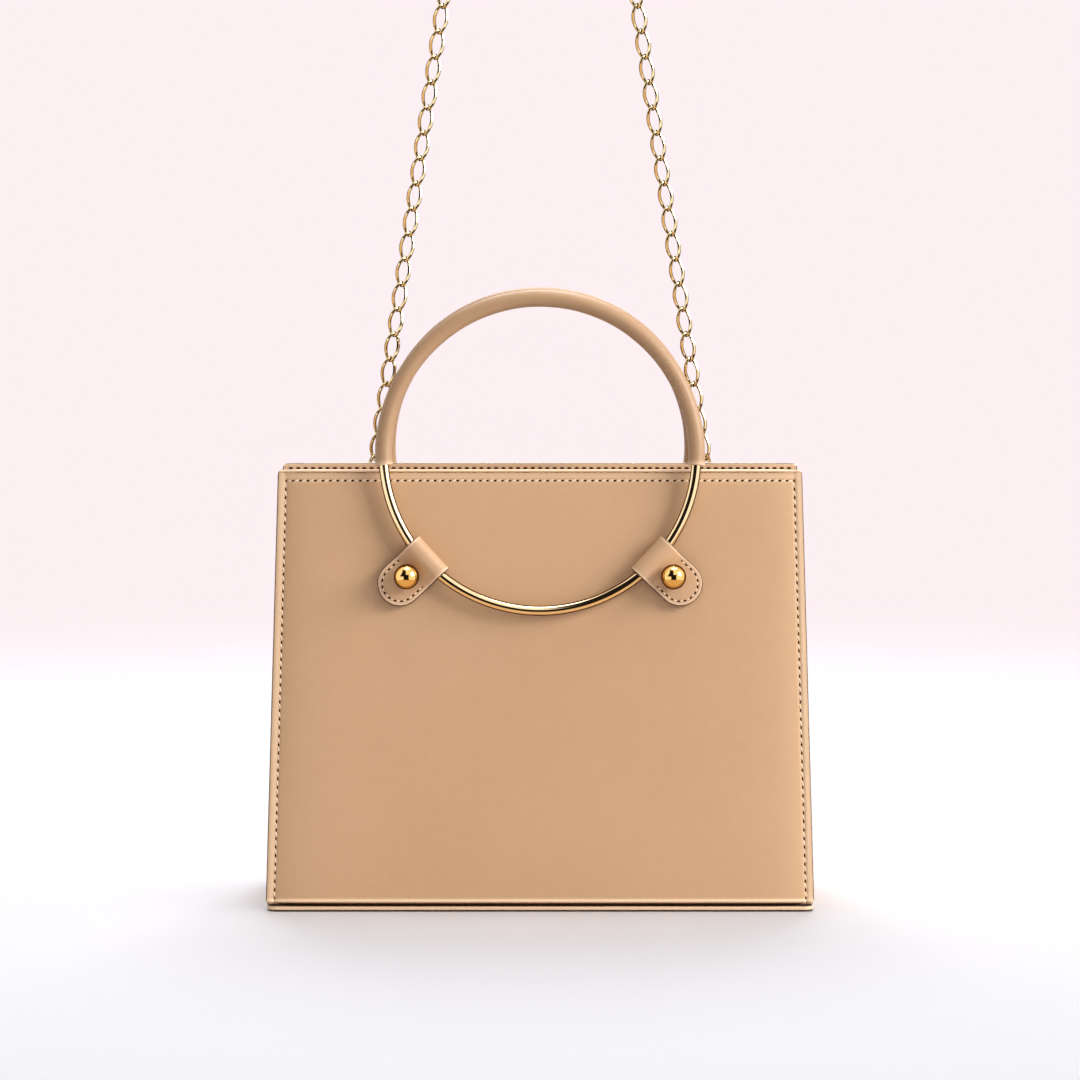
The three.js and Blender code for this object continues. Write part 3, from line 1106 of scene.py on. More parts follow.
    def painted(self, spot: Vector) -> float:
        """How far a point is darkened: edge paint along the sides and the facing's top, and painted
        shade of the side edges, of the crease under the top bead and of the gap above the base.

        Args:
            spot: The point, in the panel's frame.

        Returns:
            The share.
        """
        from_top = STANCE.panel_length - spot.y
        sides = self.side_paint_and_shade.at(self.half_width(spot.y) - abs(spot.x))
        if spot.z < -STANCE.wall / 2:
            return max(sides, self.facing_paint.at(from_top))
        return max(sides, self.crease_shade.at(from_top), self.foot_gap_shade.at(spot.y))

    def stretched(self, spot: Vector) -> float:
        """How far the leather is paler: stretched over the top bead and the foot, with a painted
        highlight there and along the top and side borders.

        Args:
            spot: The point, in the panel's frame.

        Returns:
            The share.
        """
        from_top = STANCE.panel_length - spot.y
        top = self.top_stretch_highlight.at(from_top) + self.band_highlight.at(from_top)
        sides = self.side_highlight.at(self.half_width(spot.y) - abs(spot.x))
        return max(top, self.foot_stretch_highlight.at(spot.y), sides)

    def build(self) -> None:
        """Makes the panel and its stitching."""
        columns, rows = self.lines(STANCE.bottom_width), self.lines(STANCE.panel_length)
        bm = shell(
            len(columns) - 1, len(rows) - 1,
            lambda column, row: self.outer(columns[column], rows[row]),
            lambda column, row: self.inner(columns[column], rows[row]),
        )
        mark(bm, RIM_PAINT_AND_SHADE, self.painted)
        mark(bm, FOLD_STRETCH_AND_HIGHLIGHT, self.stretched)
        name = f"{self.side.value}_panel"
        where = STANCE.panel(self.side)
        leather = make_piece(
            name + "_leather", bm, (self.finishes.body, self.finishes.facing),
            (name,), place=where,
        )
        self.sew(name, where)

    def sew(self, name: str, where: Matrix) -> None:
        """Sews the side and top rows of the outer face and the top row of the inner face.

        Args:
            name: Start of the pieces' names.
            where: The panel's frame.
        """
        threads, holes = bmesh.new(), bmesh.new()
        top = STANCE.panel_length - self.top_inset
        out = Vector((0, 0, 1))
        shares = [number / self.row_points for number in range(self.row_points + 1)]
        corner = self.half_width(top) - self.side_inset
        top_row = [self.spot(corner * (2 * share - 1), top) for share in shares]
        Sewing(self.top_pitch).sew(threads, holes, top_row, [out] * len(top_row))
        for hand in Hand:
            heights = [top + (self.row_low - top) * share for share in shares]
            row = [
                self.spot(hand.value * (self.half_width(height) - self.side_inset), height)
                for height in heights
            ]
            Sewing(self.side_pitch).sew(threads, holes, row, [out] * len(row))
        back = -STANCE.wall - self.thread_lap
        edge = STANCE.panel_length - self.facing_inset
        inner = [Vector((spot.x, edge, back)) for spot in top_row]
        facing = Sewing(
            self.top_pitch, thread=0.00024, thread_length=0.0014, slant=math.radians(6),
            hole_length=0.002, hole_width=0.0009, hole_lift=0.00014,
        )
        facing.sew(threads, holes, inner, [-out] * len(inner))
        make_piece(f"{name}_threads", threads, (self.finishes.thread,), place=where)
        make_piece(f"{name}_needle_holes", holes, (self.finishes.hole,), place=where)


# Base and gussets


@dataclass
class Base:
    """The covered board that the panels stand on."""

    finishes: Finishes
    width: float = 0.218
    depth: float = 0.0862
    corner: float = 0.004
    corner_steps: int = 8
    edge: float = 0.00095
    edge_steps: int = 5
    # Painted shade in the base's near-black paint: the gap under the panels along the board's upper
    # edge, and a contact shadow along its lower edge. The paler middle of the edge is stretched
    # leather with a painted highlight.
    gap_shade: Fade = Fade(0.0001, 0.0005)
    contact_shadow: Fade = Fade(0.0006, 0.0011)
    stretch_highlight: float = 0.7
    stretch_highlight_core: float = 0.0002

    def painted(self, spot: Vector) -> float:
        """How far a point is darkened by painted shade: the gap along the board's upper edge, and the
        contact shadow along its lower edge.
        """
        half = STANCE.base_thickness / 2
        return max(self.gap_shade.at(half - spot.z), self.contact_shadow.at(half + spot.z))

    def stretched(self, spot: Vector) -> float:
        """How far the leather is paler over the board's edge, most at mid height: stretched, and a
        painted highlight.
        """
        fade = Fade(self.stretch_highlight_core, STANCE.base_thickness / 2)
        return self.stretch_highlight * fade.at(abs(spot.z))

    def bevel(self, bm: bmesh.types.BMesh, upright: bool, offset: float, steps: int) -> None:
        """Rounds the upright edges or the level ones.

        Args:
            bm: The board.
            upright: Whether the upright edges are rounded.
            offset: Width of the rounding.
            steps: Number of faces across it.
        """
        edges = [
            edge for edge in bm.edges
            if (abs(edge.verts[0].co.z - edge.verts[1].co.z) > DOUBLES) is upright
        ]
        bmesh.ops.bevel(
            bm, geom=edges, offset=offset, segments=steps, profile=0.5, affect="EDGES",
            material=-1,
        )

    def build(self) -> None:
        """Makes the board, its edges rounded as wrapped leather is."""
        bm = bmesh.new()
        bmesh.ops.create_cube(bm, size=1.0)
        size = (self.width, self.depth, STANCE.base_thickness)
        bmesh.ops.scale(bm, vec=size, verts=bm.verts)
        self.bevel(bm, True, self.corner, self.corner_steps)
        self.bevel(bm, False, self.edge, self.edge_steps)
        bmesh.ops.recalc_face_normals(bm, faces=bm.faces)
        mark(bm, RIM_PAINT_AND_SHADE, self.painted)
        mark(bm, FOLD_STRETCH_AND_HIGHLIGHT, self.stretched)
        where = Matrix.Translation((0, 0, STANCE.floor + STANCE.base_thickness / 2))
        make_piece("base_leather", bm, (self.finishes.base,), ("base",), place=where)


@dataclass
class Gusset:
    """A pleated side wall with a flange on each panel."""

    hand: Hand
    finishes: Finishes
    thickness: float = 0.0014
    flange: float = 0.007
    edge_inset: float = 0.0006
    pleat: float = 0.021
    pleat_start: float = 0.0004
    sway: float = 0.0012
    sway_turn: float = 9.0
    top_drop: float = 0.006
    fold_radius: float = 0.0042
    fold_steps: int = 8
    straight_steps: int = 5
    rows: int = 34
    rim_thin: float = 0.6
    rim_paint: Fade = Fade(0.0002, 0.0009)

    def share(self, height: float) -> float:
        """How far up the panels a height over the floor is."""
        return (height - STANCE.foot) / (STANCE.height - STANCE.foot)

    def edge(self, height: float) -> float:
        """Distance of the flanges' edge from the bag's middle, at a height over the floor."""
        return STANCE.half_width(self.share(height)) - self.edge_inset

    def plan(self, height: float) -> list[Vector]:
        """The wall's centreline at a height over the floor, for the right gusset.

        Args:
            height: Height over the floor.

        Returns:
            Points from the front flange's edge to the back flange's, folds rounded.
        """
        share, edge = self.share(height), self.edge(height)
        fold = edge - self.flange
        outer = STANCE.bottom_depth / 2 - (height - STANCE.panel_bottom) * math.tan(STANCE.lean)
        reach = outer - STANCE.wall / math.cos(STANCE.lean) - STANCE.gap - self.thickness / 2
        soft = self.sway * math.sin(share * self.sway_turn)
        middle = fold - self.pleat * share + self.pleat_start
        corners = [
            Vector((edge, -reach, 0)), Vector((fold, -reach, 0)),
            Vector((middle, soft, 0)), Vector((fold, reach, 0)), Vector((edge, reach, 0)),
        ]
        line = [corners[0]]
        for before, corner, after in zip(corners, corners[1:], corners[2:]):
            start = corner + (before - corner).normalized() * self.fold_radius
            end = corner + (after - corner).normalized() * self.fold_radius
            self.add_straight(line, start)
            for number in range(self.fold_steps + 1):
                t = number / self.fold_steps
                line.append(start * (1 - t) ** 2 + corner * 2 * t * (1 - t) + end * t * t)
        self.add_straight(line, corners[-1])
        line.append(corners[-1])
        return line

    def add_straight(self, line: list[Vector], end: Vector) -> None:
        """Adds evenly spaced points from the last one up to an end, which isn't added.

        Args:
            line: The line that grows.
            end: Where the straight stretch ends.
        """
        for number in range(1, self.straight_steps):
            line.append(line[-1].lerp(end, 1 / (self.straight_steps - number + 1)))

    def skin(self, plans: list[list[Vector]], heights: list[float], sign: int) -> Placing:
        """One of the wall's two skins.

        Args:
            plans: The centreline at each height.
            heights: The heights over the floor.
            sign: One for the outer skin, minus one for the inner.

        Returns:
            The function that places the skin's corners.
        """
        def place(column: int, row: int) -> Vector:
            """The corner at a column and a row, thinner along the rims."""
            line = plans[row]
            last = len(line) - 1
            along = line[min(column + 1, last)] - line[max(column - 1, 0)]
            normal = Vector((along.y, -along.x, 0)).normalized()
            at_rim = min(column, last - column, row, self.rows - row) == 0
            thin = self.rim_thin if at_rim else 1.0
            spot = line[column] + normal * (sign * thin * self.thickness / 2)
            spot.z = heights[row] + STANCE.floor
            return spot

        return place

    def painted(self, spot: Vector) -> float:
        """How far a point is covered by edge paint, along the top and the flanges' edges."""
        height = spot.z - STANCE.floor
        from_top = STANCE.height - self.top_drop - height
        return self.rim_paint.at(min(from_top, self.edge(height) - abs(spot.x)))

    def build(self) -> None:
        """Makes the gusset."""
        bottom, top = STANCE.foot, STANCE.height - self.top_drop
        heights = [bottom + (top - bottom) * number / self.rows for number in range(self.rows + 1)]
        plans = [self.plan(height) for height in heights]
        outer, inner = self.skin(plans, heights, 1), self.skin(plans, heights, -1)
        bm = shell(len(plans[0]) - 1, self.rows, outer, inner)
        if self.hand is Hand.LEFT:
            turn = Matrix.Rotation(math.pi, 4, "Z")
            bmesh.ops.transform(bm, matrix=turn, verts=bm.verts)
        mark(bm, RIM_PAINT_AND_SHADE, self.painted)
        name = f"gusset_{self.hand.name.lower()}"
        make_piece(name + "_leather", bm, (self.finishes.gusset,), (name,))


# Rings and tabs


@dataclass
class RingHandle:
    """A ring of polished wire with a leather wrap over its upper half."""

    side: Side
    finishes: Finishes
    ring_steps: int = 160
    ring_sides: int = 24
    wrap_radius: float = 0.0034
    wrap_slack: float = 0.00012
    wrap_sides: int = 40
    wrap_steps: int = 96
    seam_depth: float = 0.00045
    seam_width: float = math.radians(7)
    seam_lift: float = 0.00008
    seam_lift_turn: float = math.radians(13.3)
    rim_bevel: float = 0.00035
    rim_steps: int = 3
    rim_reach: float = 0.0028
    skin_reach: float = 0.0029
    flare: float = 0.00022
    flare_length: float = 0.0022
    waves: float = 0.00009
    wave_scale: float = 90.0
    end_stretch_highlight: float = 0.7
    end_fade: Fade = Fade(0.0002, 0.0007)

    @property
    def body(self) -> str:
        """The body that the handle moves with: only the front one is free to turn."""
        return "front_handle" if self.side is Side.FRONT else "bag"

    @staticmethod
    def from_seam(angle: float) -> float:
        """How far an angle is from a quarter turn, either way round."""
        return abs((angle - math.pi / 2 + math.pi) % math.tau - math.pi)

    def from_end(self, spot: Vector) -> float:
        """Distance of a point from the wrap's nearer end, along the ring."""
        away = self.from_seam(math.atan2(spot.y, spot.x))
        return (STANCE.wrap_span(self.side) / 2 - away) * STANCE.ring_radius

    def build(self) -> None:
        """Makes the ring and its wrap."""
        ring = wire_torus(self.ring_steps, self.ring_sides)
        for vert in ring.verts:
            flat = Vector((vert.co.x, vert.co.y, 0))
            centre = flat.normalized() * STANCE.ring_radius
            offset = flat - flat.normalized()
            vert.co = centre + (offset + Vector((0, 0, vert.co.z))) * (STANCE.ring_wire * 10)
        where = STANCE.ring(self.side)
        name = self.side.value
        make_piece(
            name + "_ring_wire", ring, (self.finishes.gold,), (name + "_ring",),
            self.body, where,
        )
        self.build_wrap(name, where)

    def add_section(self, bm: bmesh.types.BMesh) -> None:
        """Adds the wrap's section: its bore, and its skin with the seam pressed in.

        Args:
            bm: The mesh that grows.
        """
        skin = bmesh.ops.create_circle(bm, segments=self.wrap_sides, radius=self.wrap_radius)
        for vert in skin["verts"]:
            away = self.from_seam(math.atan2(vert.co.y, vert.co.x))
            lift = self.seam_lift * bump(away, self.seam_lift_turn, self.seam_width)
            sunk = self.seam_depth * bump(away, 0, self.seam_width / 2)
            vert.co *= (self.wrap_radius + lift - sunk) / self.wrap_radius
        bore = STANCE.ring_wire + self.wrap_slack
        bmesh.ops.create_circle(bm, segments=self.wrap_sides, radius=bore)
        bmesh.ops.bridge_loops(bm, edges=bm.edges)

    def soften(self, bm: bmesh.types.BMesh) -> None:
        """Rounds the wrap's ends, flares them a little and makes its skin uneven.

        Args:
            bm: The wrap, in the ring's frame.
        """
        def off_wire(spot: Vector) -> float:
            """Distance of a point from the wire's middle line."""
            return math.hypot(math.hypot(spot.x, spot.y) - STANCE.ring_radius, spot.z)

        rims = [
            edge for edge in bm.edges
            if all(
                self.from_end(vert.co) < 10 * DOUBLES and off_wire(vert.co) > self.rim_reach
                for vert in edge.verts
            )
        ]
        bmesh.ops.bevel(
            bm, geom=rims, offset=self.rim_bevel, segments=self.rim_steps, profile=0.5,
            affect="EDGES", material=-1,
        )
        for vert in bm.verts:
            flat = Vector((vert.co.x, vert.co.y, 0)).normalized() * STANCE.ring_radius
            offset = vert.co - flat
            if offset.length > self.skin_reach:
                uneven = noise.noise(vert.co * self.wave_scale) * self.waves
                flared = Fade(0.0, self.flare_length).at(self.from_end(vert.co))
                uneven += self.flare * flared
                vert.co = flat + offset * (1 + uneven / offset.length)

    def build_wrap(self, name: str, where: Matrix) -> None:
        """Makes the wrap: a sleeve with a seam on the side of the panel.

        Args:
            name: Start of the piece's name.
            where: The ring's frame.
        """
        bm = bmesh.new()
        self.add_section(bm)
        span = STANCE.wrap_span(self.side)
        start = Matrix.Rotation(math.pi / 2 - span / 2, 4, "Z")
        upright = start @ Matrix.Translation((STANCE.ring_radius, 0, 0))
        upright = upright @ Matrix.Rotation(-math.pi / 2, 4, "X")
        bmesh.ops.transform(bm, matrix=upright, verts=bm.verts)
        bmesh.ops.spin(
            bm, geom=bm.verts[:] + bm.edges[:] + bm.faces[:], cent=(0, 0, 0), axis=(0, 0, 1),
            angle=span, steps=self.wrap_steps, use_merge=False,
        )
        bmesh.ops.recalc_face_normals(bm, faces=bm.faces)
        self.soften(bm)
        mark(bm, RIM_PAINT_AND_SHADE, lambda spot: 0.0)
        # The wrap's ends are paler: stretched leather with a painted highlight.
        mark(bm, FOLD_STRETCH_AND_HIGHLIGHT, lambda spot: self.end_stretch_highlight * self.end_fade.at(self.from_end(spot)))
        make_piece(
            name + "_grip_wrap", bm, (self.finishes.wrap,), (name + "_grip",),
            self.body, where,
        )


@dataclass
class Stud:
    """A ball stud, turned in one piece: head inside the bag, neck, foot ring and ball."""

    finishes: Finishes
    ball: float = 0.005
    neck: float = 0.00225
    head: float = 0.0045
    head_height: float = 0.0016
    foot: float = 0.0036
    foot_height: float = 0.0006
    rounding: float = 0.0005
    ball_steps: int = 24
    sides: int = 40

    def profile(self) -> list[tuple[float, float]]:
        """The stud's half outline, from the head's middle to the ball's top.

        Returns:
            Radius and height over the panel's face of each point.
        """
        top = 2 * (STANCE.gap + STANCE.strap_leather)
        high = -STANCE.wall - STANCE.gap
        low = high - self.head_height
        foot = top - self.foot_height
        line = [
            (0, low), (self.head - self.rounding, low),
            (self.head - self.rounding / 10, low + self.rounding * 0.7),
            (self.head, high - self.rounding * 0.8), (self.head - self.rounding / 5, high),
            (self.neck, high), (self.neck, foot),
            (self.foot - self.rounding * 0.4, foot + self.rounding / 10),
            (self.foot, foot + self.foot_height / 2),
            (self.foot - self.rounding * 0.4, top - self.rounding / 10), (self.neck, top),
        ]
        centre = top + math.sqrt(self.ball**2 - self.neck**2)
        first = -math.acos(self.neck / self.ball)
        for number in range(1, self.ball_steps):
            turn = first + (math.pi / 2 - first) * number / self.ball_steps
            line.append((self.ball * math.cos(turn), centre + self.ball * math.sin(turn)))
        return line + [(0, centre + self.ball)]

    def build(self, name: str, where: Matrix) -> None:
        """Turns the stud.

        Args:
            name: The node that it stands for.
            where: Its frame, on the panel's face.
        """
        bm = lathe(self.profile(), self.sides)
        finish = self.finishes.stud_gold
        make_piece(name + "_ball", bm, (finish,), (name,), place=where)


@dataclass
class RingTab:
    """A strap folded round the ring's wire, sewn and riveted to the panel."""

    side: Side
    hand: Hand
    finishes: Finishes
    width: float = 0.018
    length: float = 0.0275
    angle: float = math.radians(42.7)
    slack: float = 0.00025
    stud_reach: float = 0.0148
    edge_radius: float = 0.00055
    fillet: float = 0.0045
    flank: float = math.radians(45)
    lower_steps: int = 60
    loop_steps: int = 48
    flank_steps: int = 12
    fillet_steps: int = 10
    upper_steps: int = 40
    grid_steps: int = 60
    row_inset: float = 0.0019
    row_start: float = 0.0022
    row_sink: float = 0.00014
    row_straight: int = 4
    row_round: int = 24
    groove_depth: float = 0.00016
    groove_width: float = 0.0004
    groove_reach: float = 0.006
    # Edge paint round the strap, which also serves as painted shade along its outline. Inside it lies
    # a paler band of stretched leather with a painted highlight.
    paint: float = 0.95
    paint_and_shade_fade: Fade = Fade(0.00012, 0.0006)
    stretch_highlight: Ridge = Ridge(0.6, 0.0007, 0.0004)
    rows: tuple[float, ...] = field(default=(
        0, 0.12, 0.3, 0.55, 0.95, 1.35, 1.65, 1.9, 2.15, 2.5, 3.2, 4.4, 6.0, 7.6, 9.0,
    ))

    def __post_init__(self) -> None:
        """Works out the strap's path round the wire."""
        self.half = self.width / 2
        self.loop = STANCE.ring_wire + STANCE.gap + STANCE.strap_leather / 2
        sag = STANCE.ring_radius - math.sqrt(STANCE.ring_radius**2 - self.half**2)
        self.shift = sag + self.slack
        self.fold = self.shift + self.loop + STANCE.strap_leather / 2
        self.tip = self.length - self.fold
        self.path = self._path()
        self.runs = [0.0]
        for before, after in zip(self.path, self.path[1:]):
            self.runs.append(self.runs[-1] + (after - before).length)
        self.total = self.runs[-1]

    def _path(self) -> list[Vector]:
        """The middle of the leather from the lower tip round the wire to the upper tip.

        Returns:
            Points in the plane across the wire, x out from the ring's centre.
        """
        low = STANCE.gap + STANCE.strap_leather / 2
        high = low + STANCE.strap_leather
        out = STANCE.ring_out
        start, end = Vector((self.tip, low)), Vector((-self.shift, low))
        spots = [start + (end - start) * n / self.lower_steps for n in range(self.lower_steps)]
        for n in range(self.loop_steps + 1):
            turn = -math.pi / 2 - math.pi * n / self.loop_steps
            spots.append(Vector((
                -self.shift + self.loop * math.cos(turn), out + self.loop * math.sin(turn),
            )))
        for n in range(1, self.flank_steps + 1):
            turn = math.pi / 2 - (math.pi / 2 - self.flank) * n / self.flank_steps
            spots.append(Vector((self.loop * math.cos(turn), out + self.loop * math.sin(turn))))
        crest = spots[-1]
        corner = Vector((crest.x + crest.y - high, high))
        cut = self.fillet * math.tan(self.flank / 2)
        enter = corner + (crest - corner).normalized() * cut
        leave = corner + Vector((cut, 0))
        for n in range(self.fillet_steps + 1):
            t = n / self.fillet_steps
            spots.append(enter * (1 - t) ** 2 + corner * 2 * t * (1 - t) + leave * t * t)
        end = Vector((self.tip, high))
        return spots + [leave.lerp(end, n / self.upper_steps) for n in range(1, self.upper_steps + 1)]

    def bend(self, run: float, across: float, lift: float) -> Vector:
        """Lays a point of the flat strap along the folded path.

        Args:
            run: Distance along the strap from its lower tip.
            across: Distance from the strap's middle line.
            lift: Height over the middle of the leather, towards the outside of the fold.

        Returns:
            The point in the tab's frame, x out from the ring's centre and z off the panel.
        """
        run = min(max(run, 0.0), self.total)
        low, high = 0, len(self.runs) - 1
        while high - low > 1:
            middle = (low + high) // 2
            low, high = (middle, high) if self.runs[middle] <= run else (low, middle)
        span = self.path[high] - self.path[low]
        share = (run - self.runs[low]) / span.length
        spot = self.path[low].lerp(self.path[high], share)
        outward = Vector((-span.y, span.x)).normalized() * lift
        return Vector((spot.x + outward.x, across, spot.y + outward.y))

    def flat_grid(self) -> tuple[list[float], list[float]]:
        """Where the strap's mesh is divided, close together near its edges.

        Returns:
            Distances along the strap, and from its middle line.
        """
        near = [millimetres / 1000 for millimetres in self.rows]
        free = self.total - 2 * self.half
        middle = [self.half + free * n / self.grid_steps for n in range(1, self.grid_steps)]
        runs = near + middle + [self.total - distance for distance in reversed(near)]
        across = [distance - self.half for distance in near]
        across += [self.half - distance for distance in reversed(near[:-1])]
        return runs, across

    def settle(self, run: float, across: float) -> tuple[float, float, float]:
        """Draws the strap's square ends in to round ones.

        Args:
            run: Distance along the strap from its lower tip.
            across: Distance from the strap's middle line.

        Returns:
            Both distances on the round outline, and the distance from its rim.
        """
        from_tip = min(run, self.total - run)
        rim = min(from_tip, self.half - abs(across))
        if from_tip < self.half:
            u, v = 1 - from_tip / self.half, across / self.half
            length = math.hypot(u, v)
            if length > 0:
                scale = max(abs(u), abs(v)) / length
                from_tip = self.half * (1 - u * scale)
                across = self.half * v * scale
            run = from_tip if run < self.total / 2 else self.total - from_tip
        return run, across, rim

    def skin(self, runs: list[float], widths: list[float], sign: int) -> Placing:
        """One of the strap's two skins.

        Args:
            runs: Distances along the strap at which it is divided.
            widths: Distances from its middle line at which it is divided.
            sign: One for the outer skin, minus one for the inner.

        Returns:
            The function that places the skin's corners.
        """
        sewn = self.total - self.half - self.groove_reach

        def place(column: int, row: int) -> Vector:
            """The corner at a column and a row, drawn in along the stitches."""
            run, across, rim = self.settle(runs[column], widths[row])
            level = STANCE.strap_leather / 2 - rounding(rim, self.edge_radius)
            if sign > 0 and run > sewn:
                level -= self.groove_depth * bump(rim, self.row_inset, self.groove_width)
            return self.bend(run, across, sign * level)

        return place

    def inside(self, spot: Vector) -> float:
        """Distance of a point from the strap's outline, in the tab's frame."""
        beyond = math.hypot(max(spot.x - (self.tip - self.half), 0), spot.y)
        return self.half - max(abs(spot.y), beyond)

    def build(self) -> None:
        """Makes the strap, its stitches and its stud."""
        runs, widths = self.flat_grid()
        outer, inner = self.skin(runs, widths, 1), self.skin(runs, widths, -1)
        bm = shell(len(runs) - 1, len(widths) - 1, outer, inner)
        # Edge paint with painted shade along the outline, and a painted highlight just inside it.
        mark(bm, RIM_PAINT_AND_SHADE, lambda spot: self.paint * self.paint_and_shade_fade.at(self.inside(spot)))
        mark(bm, FOLD_STRETCH_AND_HIGHLIGHT, lambda spot: self.stretch_highlight.at(self.inside(spot)))
        side, hand = self.side.value, self.hand.name.lower()
        name, where = f"{side}_tab_{hand}", self.frame()
        make_piece(
            name + "_strap", bm, (self.finishes.strap,) * 2, (name,), place=where
        )
        self.sew(name, where)
        spot = Matrix.Translation((self.stud_reach - self.fold, 0, 0))
        Stud(self.finishes).build(f"{side}_stud_{hand}", where @ spot)

    def frame(self) -> Matrix:
        """The tab's frame, its origin under the wire.

        Returns:
            The matrix to the row frame.
        """
        turn = -self.angle if self.hand is Hand.RIGHT else math.pi + self.angle
        spot = Vector((math.cos(turn), math.sin(turn), 0)) * STANCE.ring_radius
        place = Matrix.Translation(spot + Vector((0, STANCE.ring_up, 0)))
        return STANCE.panel(self.side) @ place @ Matrix.Rotation(turn, 4, "Z")

    def sew(self, name: str, where: Matrix) -> None:
        """Sews the row that follows the tab's round end.

        Args:
            name: Start of the pieces' names.
            where: The tab's frame.
        """
        threads, holes = bmesh.new(), bmesh.new()
        radius = self.half - self.row_inset
        centre = self.tip - self.half
        level = STANCE.gap + 2 * STANCE.strap_leather - self.row_sink
        begin = self.stud_reach - self.fold - self.row_start
        step = (centre - begin) / self.row_straight
        line = [Vector((begin + step * n, -radius, level)) for n in range(self.row_straight)]
        for n in range(self.row_round + 1):
            turn = math.pi * (n / self.row_round - 0.5)
            line.append(Vector((centre + radius * math.cos(turn), radius * math.sin(turn), level)))
        for n in range(1, self.row_straight + 1):
            line.append(Vector((centre - step * n, radius, level)))
        row = Sewing(
            pitch=0.0027, thread=0.0003, thread_length=0.0015, slant=math.radians(5),
            hole_length=0.0016, hole_width=0.0008, hole_lift=0.00016,
        )
        row.sew(threads, holes, line, [Vector((0, 0, 1))] * len(line))
        make_piece(f"{name}_threads", threads, (self.finishes.thread,), place=where)
        make_piece(f"{name}_needle_holes", holes, (self.finishes.hole,), place=where)


# Chain


